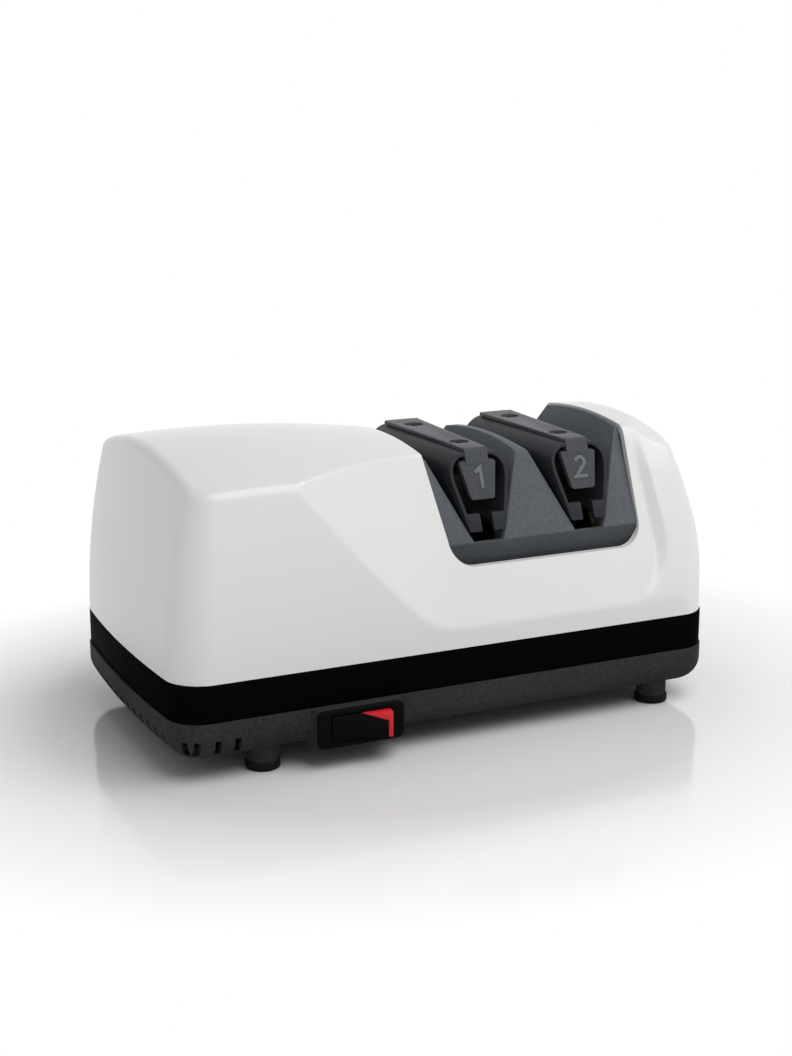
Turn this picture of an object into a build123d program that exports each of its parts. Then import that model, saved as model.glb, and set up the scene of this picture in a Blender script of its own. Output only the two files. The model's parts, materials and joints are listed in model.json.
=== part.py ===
from build123d import *
import os
from math import asin, cos, degrees, radians, sin, sqrt, tan

os.makedirs("parts", exist_ok=True)

# A two-stage, motor-driven bench knife sharpener, in millimetres.
# X runs along the body with the motor at -X and the sharpening stages at +X.
# The switch side faces -Y, +Z is up, and the feet stand on z = 0 under the middle of the body.

# Body
body_width = 108.5
corner_radius = 11.7
end_bow = 2.8
base_rim_proud = 0.4
foot_pad_height = 2.7
base_clearance = 7.0
base_height = 13.1
band_height = 12.7
overrun = 40.0
seat_clearance = 0.3

# Along the body, from the motor end: fan, motor, two stages and the end cap
fan_end_gap = 11.0
fan_gap = 11.0
stage_offset = 36.2
stage_pitch = 39.6
cap_reach = 46.2

# Housing shell
shell_wall = 2.4
motor_headroom = 4.1
motor_top_inset = 37.0
crown_radius = 160.0
motor_crown_length_radius = 406.0
motor_end_lean = 7.6
cap_end_lean = 6.2
side_lean = 3.2
wall_rise_shares = (0, 0.4, 0.8, 1.2)
cap_drop = 2.3
cap_end_radius = 15.0
scoop_lean_angle = 25.5
crease_z = 38.8
scoop_foot_offset = 26.2
diagonal_top_inset = 40.6
diagonal_top_drop = 6.9
valley_top_offset = 20.2
valley_top_drop = 6.6
valley_radius = 36.0
scoop_bulge = 3.0
facet_end_inset = 19.0
facet_top_end_inset = 22.0
facet_corner_radius = 22.0
shoulder_radius = 5.0
shell_boss_radius = 4.2

# Notch that holds the guide tray, as it shows on the leaning front face
notch_bottom_z = 57.6
notch_left_offset = 14.6
notch_left_top_offset = 20.1
notch_right_offset = 19.1
notch_right_top_offset = 21.1
notch_top_z = 95.0
notch_radius = 9.0

# Guide tray
guide_angle = 23.6
guide_foot_half = 5.6
sill_top_z = 64.4
sill_inset = 13.05
sill_thickness = 3.0
tray_face_top_z = 94.0
tray_face_run = 16.0
tray_crown_z = 93.7
tray_cap_gap = 0.8
disc_well_inset = 7.7
disc_well_top_z = 73.5
well_margin = 3.0
beam_half = 2.2
beam_height = 4.2
beam_drop = 5.4

# Guide springs, bridges and clamp strips
guide_face_proud = 0.5
guide_face_run = 11.8
spring_top_z = 93.5
spring_shoulder_half = 11.0
spring_shoulder_z = 85.0
spring_knee_half = 8.2
spring_foot_half = 6.7
spring_foot_z = 68.1
spring_wall = 1.2
spring_shoulder_radius = 12.0
spring_top_radius = 6.5
spring_pad_inner_half = 2.3
spring_pad_height = 5.6
spring_pad_depth = 2.0
strip_thickness = 1.3
strip_front_half = 4.4
strip_rear_half = 6.6
strip_end_inset = 0.7
screw_y = 17.7
screw_head_radius = 3.1
screw_head_height = 0.6
screw_recess_radius = 3.4
screw_recess_depth = 0.8
screw_shank_radius = 1.25
screw_length = 7.5
thread_clearance = 0.05
bridge_neck_half = 4.3
bar_height = 4.8
plate_top_half = 7.0
plate_top_z = 90.6
plate_bottom_half = 4.4
plate_bottom_z = 78.2
plate_thickness = 2.6
plate_corner_radius = 0.9
screw_boss_half = 2.0
screw_boss_height = 4.0
post_half_width = 2.0
post_half_depth = 7.0

# Drive shaft and sharpening discs
shaft_z = 45.7
shaft_radius = 3.0
shaft_fan_end = 2.0
shaft_outboard_end = 5.5
running_clearance = 0.05
disc_radius = 26.0
disc_rim_offset = 14.2
disc_face_radius = 13.6
disc_face_offset = 4.0
disc_sheet = 1.6
hub_radius = 6.0
hub_inner_offset = 0.5
hub_outer_offset = 10.0
disc_travel = 1.5
drive_pin_radius = 1.2
drive_pin_offset = 2.6
drive_pin_length = 11.0
pin_clearance = 0.1
disc_spring_radius = 5.4
disc_spring_wall = 1.0
collar_radius = 6.2
collar_width = 2.4

# Motor
stack_length = 26.0
stack_half_width = 30.0
stack_below = 24.0
stack_above = 42.0
stack_corner_radius = 4.0
stator_bore_radius = 16.0
rotor_gap = 0.4
window_half_width = 17.5
window_bottom = 20.0
coil_leg_height = 12.0
coil_build_below = 7.5
coil_build_above = 7.0
coil_half_width = 16.5
coil_overhang = 8.0
coil_corner_radius = 5.0
shading_slot = 3.0
bracket_gap = 9.0
bracket_thickness = 3.0
bracket_half_width = 28.0
bracket_half_height = 8.5
bracket_foot_width = 6.0
bearing_radius = 6.5
bearing_length = 8.0
motor_screw_y = 24.0
motor_screw_radius = 1.9
motor_screw_head_radius = 3.6
motor_screw_head_height = 2.6
fan_hub_radius = 7.0
fan_hub_length = 10.0
fan_radius = 25.0
fan_blade_count = 7
fan_blade_chord = 11.0
fan_blade_thickness = 1.4
fan_blade_angle = 38.0
fan_blade_root = 1.0
outboard_inset = 19.5
outboard_thickness = 5.0
outboard_half_width = 10.0
outboard_foot_half = 17.0
outboard_foot_length = 13.0
outboard_foot_height = 3.0

# Base and feet
base_wall = 2.6
base_floor = 2.6
base_bottom_radius = 8.0
base_inner_radius = 6.0
band_wall = 2.4
foot_left_inset = 33.2
foot_right_inset = 21.6
foot_side_inset = 8.85
foot_radius = 5.8
foot_post_radius = 5.3
foot_screw_head_radius = 3.0
foot_screw_recess = 1.2
foot_screw_head_height = 1.2
foot_screw_length = 7.5
foot_screw_radius = 1.5
case_screw_left_inset = 16.0
case_screw_right_inset = 13.0
case_screw_left_side_inset = 15.25
case_screw_right_side_inset = 20.25
case_boss_radius = 4.2
case_screw_radius = 1.9
case_screw_clearance = 0.3
case_screw_head_radius = 3.4
case_screw_head_height = 2.4
case_screw_recess = 3.6
case_screw_grip = 12.0
motor_post_radius = 3.6
motor_post_x_offset = 8.0
motor_post_y = 22.0
vent_width = 2.2
vent_height = 5.2
vent_z = 11.6
vent_pitch = 6.6
vent_end_count = 13
vent_side_count = 3
vent_side_inset = 22.0
vent_corner_angle = 45.0
vent_depth = 12.0

# Switch
switch_inset = 62.5
switch_z = 13.6
pod_half_width = 16.0
pod_bevel = 1.6
pod_height = 12.9
pod_reach = 3.2
bezel_width = 30.4
bezel_height = 12.6
bezel_thickness = 1.6
bezel_corner_radius = 2.2
rocker_length = 20.4
rocker_height = 8.6
rocker_clearance = 0.35
rocker_tilt = 8.0
rocker_depth = 5.0
rocker_pivot_inset = 1.2
rocker_heel_share = 0.8
rocker_rest_proud = 0.3
flag_drop = 3.0
flag_end = 1.9
switch_body_width = 26.0
switch_body_height = 8.4
switch_body_depth = 12.0
rocker_well_depth = 6.0
terminal_width = 4.8
terminal_thickness = 0.8
terminal_length = 8.0
terminal_pitch = 8.0

# Cord inlet bush
inlet_z = 14.2
inlet_bore_radius = 2.9
inlet_sleeve_radius = 3.8
inlet_flange_radius = 4.5
inlet_collar_radius = 5.2
inlet_flange_thickness = 1.6

# Places along the body
motor_half = stack_length / 2 + bracket_gap + bracket_thickness
fan_and_motor = fan_end_gap + fan_hub_length + fan_gap + 2 * motor_half
body_length = fan_and_motor + stage_offset + stage_pitch + cap_reach
half_length = body_length / 2
fan_x = -half_length + fan_end_gap + fan_hub_length / 2
motor_x = -half_length + fan_and_motor - motor_half
stage_1_x = motor_x + motor_half + stage_offset
stage_2_x = stage_1_x + stage_pitch
outboard_x = half_length - outboard_inset
shaft_left_x = fan_x - fan_hub_length / 2 - shaft_fan_end
shaft_right_x = outboard_x + shaft_outboard_end
switch_x = -half_length + switch_inset
motor_top_x = -half_length + motor_top_inset
diagonal_top_x = -half_length + diagonal_top_inset
scoop_foot_x = stage_1_x - scoop_foot_offset
valley_top_x = stage_1_x - valley_top_offset
crown_split_x = (stage_1_x + stage_2_x) / 2
notch_left_x = stage_1_x - notch_left_offset
notch_left_top_x = stage_1_x - notch_left_top_offset
notch_right_x = stage_2_x + notch_right_offset
notch_right_top_x = stage_2_x + notch_right_top_offset
facet_end_x = half_length - facet_end_inset
facet_top_end_x = half_length - facet_top_end_inset

# Places across the body and up from the floor
half_width = body_width / 2
sill_y = half_width - sill_inset
base_top_z = base_clearance + base_height
band_top_z = base_top_z + band_height
motor_top_z = shaft_z + stack_above + coil_build_above + motor_headroom + shell_wall
cap_top_z = motor_top_z - cap_drop
diagonal_top_z = motor_top_z - diagonal_top_drop
valley_top_z = motor_top_z - valley_top_drop
lean_height = diagonal_top_z - band_top_z
scoop_slope = tan(radians(scoop_lean_angle))


def plan_sketch(motor_inset, cap_inset, side_inset):
    # Rounded oblong with gently bowed ends, drawn in from the outline of the base rim
    left = -half_length + motor_inset
    right = half_length - cap_inset
    side = half_width - side_inset
    with BuildSketch() as plan:
        with BuildLine():
            ThreePointArc((left + end_bow, -side), (left, 0), (left + end_bow, side))
            Line((left + end_bow, side), (right - end_bow, side))
            ThreePointArc((right - end_bow, side), (right, 0), (right - end_bow, -side))
            Line((right - end_bow, -side), (left + end_bow, -side))
        make_face()
        fillet(plan.vertices(), corner_radius - side_inset)
    return plan.sketch


def scoop_face_y(z):
    # The leaning front face of the stage end, at a height
    return -half_width + (z - crease_z) * scoop_slope


def crown_drop(y):
    # How far the crowned top falls away at a distance from the middle
    return crown_radius - sqrt(crown_radius**2 - y**2)


def leant(lean, rise):
    # How far a wall that starts upright has leant in after a rise, given its lean at shoulder height
    return lean * (rise / lean_height) ** 2


def motor_crown(inset):
    # What lies above the doubly curved top of the motor end
    side = half_width + overrun
    axis_z = motor_top_z - motor_crown_length_radius
    start_angle = -asin((half_length + overrun + motor_top_x) / motor_crown_length_radius)
    end_angle = asin((crown_split_x - motor_top_x) / motor_crown_length_radius)
    start = Plane(
        origin=(motor_top_x, 0, axis_z),
        x_dir=(0, 1, 0),
        z_dir=(cos(start_angle), 0, -sin(start_angle)),
    )
    top = motor_crown_length_radius - inset
    with BuildPart() as crown:
        with BuildSketch(start):
            with BuildLine():
                ThreePointArc((-side, top - crown_drop(side)), (0, top), (side, top - crown_drop(side)))
                Polyline(
                    (side, top - crown_drop(side)),
                    (side, top + overrun),
                    (-side, top + overrun),
                    (-side, top - crown_drop(side)),
                )
            make_face()
        revolve(
            axis=Axis((motor_top_x, 0, axis_z), (0, 1, 0)),
            revolution_arc=degrees(end_angle - start_angle),
        )
    return crown.part


def cap_crown(inset):
    # What lies above the crowned top of the end cap beyond the stages
    side = half_width + overrun
    top = cap_top_z - inset
    with BuildPart() as crown:
        with BuildSketch(Plane.YZ.offset(crown_split_x)):
            with BuildLine():
                ThreePointArc((-side, top - crown_drop(side)), (0, top), (side, top - crown_drop(side)))
                Polyline(
                    (side, top - crown_drop(side)),
                    (side, top + overrun),
                    (-side, top + overrun),
                    (-side, top - crown_drop(side)),
                )
            make_face()
        extrude(amount=half_length + overrun)
    return crown.part


def scoop(inset):
    # The flat leaning face and the diagonal shoulder that runs down to it, as one rounded wedge
    foot = Vector(scoop_foot_x, -half_width, crease_z)
    diagonal_top = Vector(diagonal_top_x, -half_width, diagonal_top_z)
    valley_top = Vector(valley_top_x, scoop_face_y(valley_top_z), valley_top_z)
    valley = (valley_top - foot).normalized()
    face_out = Vector(0, -cos(radians(scoop_lean_angle)), sin(radians(scoop_lean_angle)))
    shoulder_out = (valley_top - foot).cross(diagonal_top - foot).normalized()
    turn = radians(face_out.get_angle(shoulder_out))
    across = (face_out * -1).cross(valley)
    reach = body_length
    tangent_length = valley_radius * tan(turn / 2)
    valley_end = (-tangent_length * cos(turn), -tangent_length * sin(turn))
    wedge_plane = Plane(origin=foot - face_out * inset, x_dir=across, z_dir=valley)
    with BuildPart() as wedge:
        with BuildSketch(wedge_plane):
            with BuildLine():
                Line((reach, 0), (tangent_length, 0))
                TangentArc((tangent_length, 0), valley_end, tangent=(-1, 0))
                Polyline(
                    valley_end,
                    (-reach * cos(turn), -reach * sin(turn)),
                    (-reach * cos(turn), -reach),
                    (reach, -reach),
                    (reach, 0),
                )
            make_face()
        extrude(amount=reach, both=True)
        with BuildSketch(Plane.XZ) as window:
            with BuildLine():
                Polyline(
                    (-reach, crease_z - overrun),
                    (facet_end_x, crease_z),
                    (facet_top_end_x, cap_top_z + overrun),
                    (-reach, cap_top_z + overrun),
                    close=True,
                )
            make_face()
            fillet(window.vertices().sort_by(Axis.X)[-1], facet_corner_radius)
        extrude(amount=reach, both=True, mode=Mode.INTERSECT)
        mirror(about=Plane.XZ)
    return wedge.part


def bulged_front(inset):
    # In front of the gently swelling face at the far end of the stages
    low = (-half_width + inset, crease_z)
    high = (scoop_face_y(cap_top_z) + inset, cap_top_z)
    middle = (
        (low[0] + high[0]) / 2 - scoop_bulge * cos(radians(scoop_lean_angle)),
        (low[1] + high[1]) / 2 + scoop_bulge * sin(radians(scoop_lean_angle)),
    )
    with BuildPart() as front:
        with BuildSketch(Plane.YZ.offset(crown_split_x)):
            with BuildLine():
                ThreePointArc(low, middle, high)
                Polyline(
                    high,
                    (high[0], cap_top_z + overrun),
                    (-half_width - overrun, cap_top_z + overrun),
                    (-half_width - overrun, crease_z),
                    low,
                )
            make_face()
        extrude(amount=half_length + overrun)
        mirror(about=Plane.XZ)
    return front.part


def housing_form(inset):
    # The moulded outside of the housing, or the same form drawn in by a wall
    start = base_rim_proud + inset
    with BuildPart() as form:
        for share in wall_rise_shares:
            rise = share * lean_height
            with BuildSketch(Plane.XY.offset(band_top_z + rise)):
                add(
                    plan_sketch(
                        start + leant(motor_end_lean, rise),
                        start + leant(cap_end_lean, rise),
                        start + leant(side_lean, rise),
                    )
                )
        loft()
        add(motor_crown(inset), mode=Mode.SUBTRACT)
        add(cap_crown(inset), mode=Mode.SUBTRACT)
        add(bulged_front(inset), mode=Mode.SUBTRACT)
        add(scoop(inset), mode=Mode.SUBTRACT)
    return form.part


def notch_sketch(inset):
    # Outline of the notch seen from the front, open past the top of the housing
    left_slope = (notch_left_top_x - notch_left_x) / (notch_top_z - notch_bottom_z)
    right_slope = (notch_right_top_x - notch_right_x) / (notch_top_z - notch_bottom_z)
    top_z = notch_top_z + overrun
    rise = top_z - notch_bottom_z
    with BuildSketch() as notch:
        with BuildLine():
            Polyline(
                (notch_left_x + inset, notch_bottom_z + inset),
                (notch_right_x - inset, notch_bottom_z + inset),
                (notch_right_x + right_slope * rise - inset, top_z),
                (notch_left_x + left_slope * rise + inset, top_z),
                close=True,
            )
        make_face()
        fillet(notch.vertices().group_by(Axis.Y)[0], notch_radius - inset)
    return notch.sketch


def stage_block(foot_y, face_run, inset):
    # All that lies between a face that leans back from the sill and its mirror image, drawn in by a depth
    face_slope = face_run / (tray_face_top_z - sill_top_z)
    low_y = foot_y - inset
    top_y = low_y - face_slope * (cap_top_z - sill_top_z)
    with BuildPart() as block:
        with BuildSketch(Plane.YZ.offset(-half_length)):
            with BuildLine():
                Polyline(
                    (-low_y, notch_bottom_z - overrun),
                    (-low_y, sill_top_z),
                    (-top_y, cap_top_z),
                    (top_y, cap_top_z),
                    (low_y, sill_top_z),
                    (low_y, notch_bottom_z - overrun),
                    close=True,
                )
            make_face()
        extrude(amount=body_length)
    return block.part


def guide_block(inset):
    # The front and rear faces of the guide springs and numbered plates are steeper than the tray's
    return stage_block(sill_y + guide_face_proud, guide_face_run, inset)


def crown_above(top_z, start_x, end_x):
    # All that lies above a crown of the housing's own curve, over a stretch of the body
    side = half_width + overrun
    with BuildPart() as crown:
        with BuildSketch(Plane.YZ.offset(start_x)):
            with BuildLine():
                ThreePointArc((-side, top_z - crown_drop(side)), (0, top_z), (side, top_z - crown_drop(side)))
                Polyline(
                    (side, top_z - crown_drop(side)),
                    (side, top_z + overrun),
                    (-side, top_z + overrun),
                    (-side, top_z - crown_drop(side)),
                )
            make_face()
        extrude(amount=end_x - start_x)
    return crown.part


def edges_at(piece, points):
    # The edges that pass nearest to the given points
    chosen = ShapeList()
    for point in points:
        chosen.append(piece.edges().sort_by_distance(point)[0])
    return chosen


def rounded_form(inset):
    # The housing's form with the far end of its cap rounded over
    cap_edge = (half_length - cap_end_lean - inset, 0, cap_top_z - inset)
    with BuildPart() as form:
        add(housing_form(inset))
        fillet(edges_at(form, [cap_edge]), cap_end_radius - inset)
    return form.part


def save(piece, name):
    piece.part.label = name
    export_step(piece.part, f"parts/{name}.step")


# Places that several pieces share
stage_xs = (stage_1_x, stage_2_x)
guide_slope = tan(radians(guide_angle))
strip_top_z = spring_top_z + strip_thickness
floor_z = base_clearance + base_floor
sides = (-1, 1)
case_screw_places = (
    (-half_length + case_screw_left_inset, half_width - case_screw_left_side_inset),
    (half_length - case_screw_right_inset, half_width - case_screw_right_side_inset),
)
case_screw_points = [(x, side * y) for x, y in case_screw_places for side in sides]
foot_xs = (-half_length + foot_left_inset, half_length - foot_right_inset)
foot_points = [(x, side * (half_width - foot_side_inset)) for x in foot_xs for side in sides]
shaft_axis = Axis((0, 0, shaft_z), (1, 0, 0))
pod_face_y = -half_width - pod_reach
bezel_face_y = pod_face_y - bezel_thickness
collar_xs = [stage_1_x + (index - 1 / 2) * stage_pitch for index in range(3)]

# Housing shell: a moulded hood with a crowned top, a diagonal shoulder and a notch for the stages
shoulder_y = half_width - base_rim_proud - side_lean
shoulder_z = motor_top_z - crown_drop(shoulder_y)
corner_cut = corner_radius * (1 - cos(radians(vent_corner_angle)))
motor_end_x = -half_length + base_rim_proud + motor_end_lean
shoulder_points = [(motor_end_x, 0, motor_top_z)]
for side in sides:
    shoulder_points.append((motor_end_x + corner_cut, side * (shoulder_y - corner_cut), shoulder_z))
    shoulder_points.append(((motor_end_x + corner_radius + diagonal_top_x) / 2, side * shoulder_y, shoulder_z))

with BuildPart() as shell_bosses:
    with BuildSketch(Plane.XY.offset(band_top_z)):
        with Locations(*case_screw_points):
            Circle(shell_boss_radius)
    extrude(amount=motor_top_z - band_top_z)
    add(rounded_form(shell_wall / 2), mode=Mode.INTERSECT)

with BuildPart() as housing_shell:
    add(rounded_form(0))
    fillet(edges_at(housing_shell, shoulder_points), shoulder_radius)
    add(rounded_form(shell_wall), mode=Mode.SUBTRACT)
    add(shell_bosses.part)
    with BuildSketch(Plane.XZ):
        add(notch_sketch(0))
    extrude(amount=half_width + overrun, both=True, mode=Mode.SUBTRACT)
    with BuildSketch(Plane.XY.offset(band_top_z)):
        with Locations(*case_screw_points):
            Circle(case_screw_radius + thread_clearance)
    extrude(amount=case_screw_grip, mode=Mode.SUBTRACT)
save(housing_shell, "housing_shell")

# Trim band between the housing and the base
with BuildPart() as trim_band:
    with BuildSketch(Plane.XY.offset(base_top_z)):
        add(plan_sketch(base_rim_proud, base_rim_proud, base_rim_proud))
        inner = base_rim_proud + band_wall
        add(plan_sketch(inner, inner, inner), mode=Mode.SUBTRACT)
    extrude(amount=band_height)
save(trim_band, "trim_band")

# Base: a rounded pan with the switch pod, feet posts, screw bosses, motor posts and cooling slots
with BuildPart() as base_hollow:
    with BuildSketch(Plane.XY.offset(floor_z)):
        add(plan_sketch(base_wall, base_wall, base_wall))
    extrude(amount=base_height + overrun)
    fillet(base_hollow.edges().group_by(Axis.Z)[0], base_inner_radius)

with BuildPart() as base_tray:
    with BuildSketch(Plane.XY.offset(base_clearance)):
        add(plan_sketch(0, 0, 0))
    extrude(amount=base_height)
    fillet(base_tray.edges().group_by(Axis.Z)[0], base_bottom_radius)
    with BuildSketch(Plane.XY.offset(switch_z - pod_height / 2)):
        with BuildLine():
            root_y = -half_width + base_bottom_radius
            Polyline(
                (switch_x - pod_half_width + pod_bevel, pod_face_y),
                (switch_x + pod_half_width - pod_bevel, pod_face_y),
                (switch_x + pod_half_width, -half_width),
                (switch_x + pod_half_width, root_y),
                (switch_x - pod_half_width, root_y),
                (switch_x - pod_half_width, -half_width),
                close=True,
            )
        make_face()
    extrude(amount=pod_height)
    add(base_hollow.part, mode=Mode.SUBTRACT)
    with BuildSketch(Plane.XY.offset(foot_pad_height)):
        with Locations(*foot_points):
            Circle(foot_post_radius)
    extrude(amount=floor_z - foot_pad_height)
    with BuildSketch(Plane.XY.offset(base_clearance + base_floor / 2)):
        with Locations(*case_screw_points):
            Circle(case_boss_radius)
    extrude(amount=band_top_z - base_clearance - base_floor / 2)
    with BuildSketch(Plane.XY.offset(base_clearance + base_floor / 2)):
        with Locations((motor_x, 0)):
            with GridLocations(2 * motor_post_x_offset, 2 * motor_post_y, 2, 2):
                Circle(motor_post_radius)
    extrude(amount=shaft_z - stack_below - base_clearance - base_floor / 2)
    with BuildSketch(Plane.XY.offset(base_clearance)):
        with Locations(*case_screw_points):
            Circle(case_screw_radius + case_screw_clearance)
    extrude(amount=band_top_z - base_clearance, mode=Mode.SUBTRACT)
    with BuildSketch(Plane.XY.offset(base_clearance)):
        with Locations(*case_screw_points):
            Circle(case_screw_head_radius + case_screw_clearance)
    extrude(amount=case_screw_recess, mode=Mode.SUBTRACT)
    with BuildSketch(Plane.XY.offset(foot_pad_height)):
        with Locations(*foot_points):
            Circle(foot_screw_radius + thread_clearance)
    extrude(amount=foot_screw_length - foot_screw_recess, mode=Mode.SUBTRACT)
    with Locations((-half_length, 0, vent_z)):
        with GridLocations(vent_depth, vent_pitch, 1, vent_end_count):
            Box(vent_depth, vent_width, vent_height, mode=Mode.SUBTRACT)
    vent_middle_x = -half_length + vent_side_inset + vent_pitch * (1 - vent_side_count) / 2
    vent_corner_x = -half_length + end_bow / 2 + corner_cut
    for side in sides:
        with Locations((vent_middle_x, side * half_width, vent_z)):
            with GridLocations(vent_pitch, vent_depth, vent_side_count, 1):
                Box(vent_width, vent_depth, vent_height, mode=Mode.SUBTRACT)
        vent_corner = (vent_corner_x, side * (half_width - corner_cut), vent_z)
        with Locations(Location(vent_corner, (0, 0, -side * vent_corner_angle))):
            Box(vent_depth, vent_width, vent_height, mode=Mode.SUBTRACT)
    with BuildSketch(Plane.XZ.offset(-pod_face_y)):
        with Locations((switch_x, switch_z)):
            Rectangle(rocker_length + 2 * rocker_clearance, rocker_height + 2 * rocker_clearance)
    extrude(amount=-rocker_well_depth, mode=Mode.SUBTRACT)
    with BuildSketch(Plane.XZ.offset(-pod_face_y - rocker_well_depth)):
        with Locations((switch_x, switch_z)):
            Rectangle(switch_body_width + 2 * thread_clearance, switch_body_height + 2 * thread_clearance)
    extrude(amount=-switch_body_depth - thread_clearance, mode=Mode.SUBTRACT)
    with BuildSketch(Plane.XZ.offset(-half_width - overrun)):
        with Locations((switch_x, inlet_z)):
            Circle(inlet_sleeve_radius + thread_clearance)
    extrude(amount=overrun + base_bottom_radius, mode=Mode.SUBTRACT)
    with BuildSketch(Plane.XZ.offset(-half_width + base_wall)):
        with Locations((switch_x, inlet_z)):
            Circle(inlet_flange_radius + thread_clearance)
    extrude(amount=base_bottom_radius, mode=Mode.SUBTRACT)
save(base_tray, "base_tray")

# Rubber pads under the feet posts
with BuildPart() as rubber_feet:
    with BuildSketch():
        with Locations(*foot_points):
            Circle(foot_radius)
            Circle(foot_screw_radius + case_screw_clearance, mode=Mode.SUBTRACT)
    extrude(amount=foot_pad_height)
    with BuildSketch():
        with Locations(*foot_points):
            Circle(foot_screw_head_radius + case_screw_clearance)
    extrude(amount=foot_screw_recess, mode=Mode.SUBTRACT)
save(rubber_feet, "rubber_feet")


def upward_screws(points, head_bottom_z, head_radius, head_height, shank_radius, shank_length):
    # Pan-head screws that are driven up from below
    with BuildPart() as screws:
        with BuildSketch(Plane.XY.offset(head_bottom_z)):
            with Locations(*points):
                Circle(head_radius)
        extrude(amount=head_height)
        with BuildSketch(Plane.XY.offset(head_bottom_z + head_height)):
            with Locations(*points):
                Circle(shank_radius)
        extrude(amount=shank_length)
    return screws


foot_screws = upward_screws(
    foot_points,
    foot_screw_recess - foot_screw_head_height,
    foot_screw_head_radius,
    foot_screw_head_height,
    foot_screw_radius,
    foot_screw_length,
)
save(foot_screws, "foot_screws")

housing_screws = upward_screws(
    case_screw_points,
    base_clearance + case_screw_recess - case_screw_head_height,
    case_screw_head_radius,
    case_screw_head_height,
    case_screw_radius,
    band_top_z + case_screw_grip - base_clearance - case_screw_recess - thread_clearance,
)
save(housing_screws, "housing_screws")

# Guide tray: two V-shaped stages, their slanted faces guide the blade down to the discs
beam_top_z = sill_top_z - beam_drop
well_y = sill_y - disc_well_inset
with BuildPart() as guide_tray:
    with BuildSketch(Plane.XZ):
        add(notch_sketch(seat_clearance))
    extrude(amount=half_width, both=True)
    add(stage_block(sill_y, tray_face_run, 0), mode=Mode.INTERSECT)
    add(crown_above(tray_crown_z, -half_length, stage_2_x), mode=Mode.SUBTRACT)
    add(crown_above(cap_top_z - tray_cap_gap, stage_2_x, half_length), mode=Mode.SUBTRACT)
    top_half = guide_foot_half + (tray_face_top_z + overrun - sill_top_z) * guide_slope
    for x in stage_xs:
        with BuildSketch(Plane.XZ):
            with BuildLine():
                Polyline(
                    (x - guide_foot_half, sill_top_z),
                    (x + guide_foot_half, sill_top_z),
                    (x + top_half, tray_face_top_z + overrun),
                    (x - top_half, tray_face_top_z + overrun),
                    close=True,
                )
            make_face()
        extrude(amount=half_width, both=True, mode=Mode.SUBTRACT)
        with BuildSketch(Plane.XY.offset(notch_bottom_z)):
            with Locations((x, 0)):
                Rectangle(2 * guide_foot_half, 2 * (sill_y - sill_thickness))
        extrude(amount=sill_top_z - notch_bottom_z, mode=Mode.SUBTRACT)
    well_left = stage_xs[0] - disc_rim_offset - disc_sheet - disc_travel - well_margin
    well_right = stage_xs[1] + disc_rim_offset + disc_sheet + disc_travel + well_margin
    with BuildSketch(Plane.XY.offset(notch_bottom_z)):
        with Locations(((well_left + well_right) / 2, 0)):
            Rectangle(well_right - well_left, 2 * well_y)
    extrude(amount=disc_well_top_z - notch_bottom_z, mode=Mode.SUBTRACT)
    for x in stage_xs:
        with BuildSketch(Plane.XY.offset(beam_top_z)):
            with Locations((x, 0)):
                Rectangle(2 * beam_half, 2 * (sill_y - sill_thickness / 2))
        extrude(amount=-beam_height)
save(guide_tray, "guide_tray")

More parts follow.
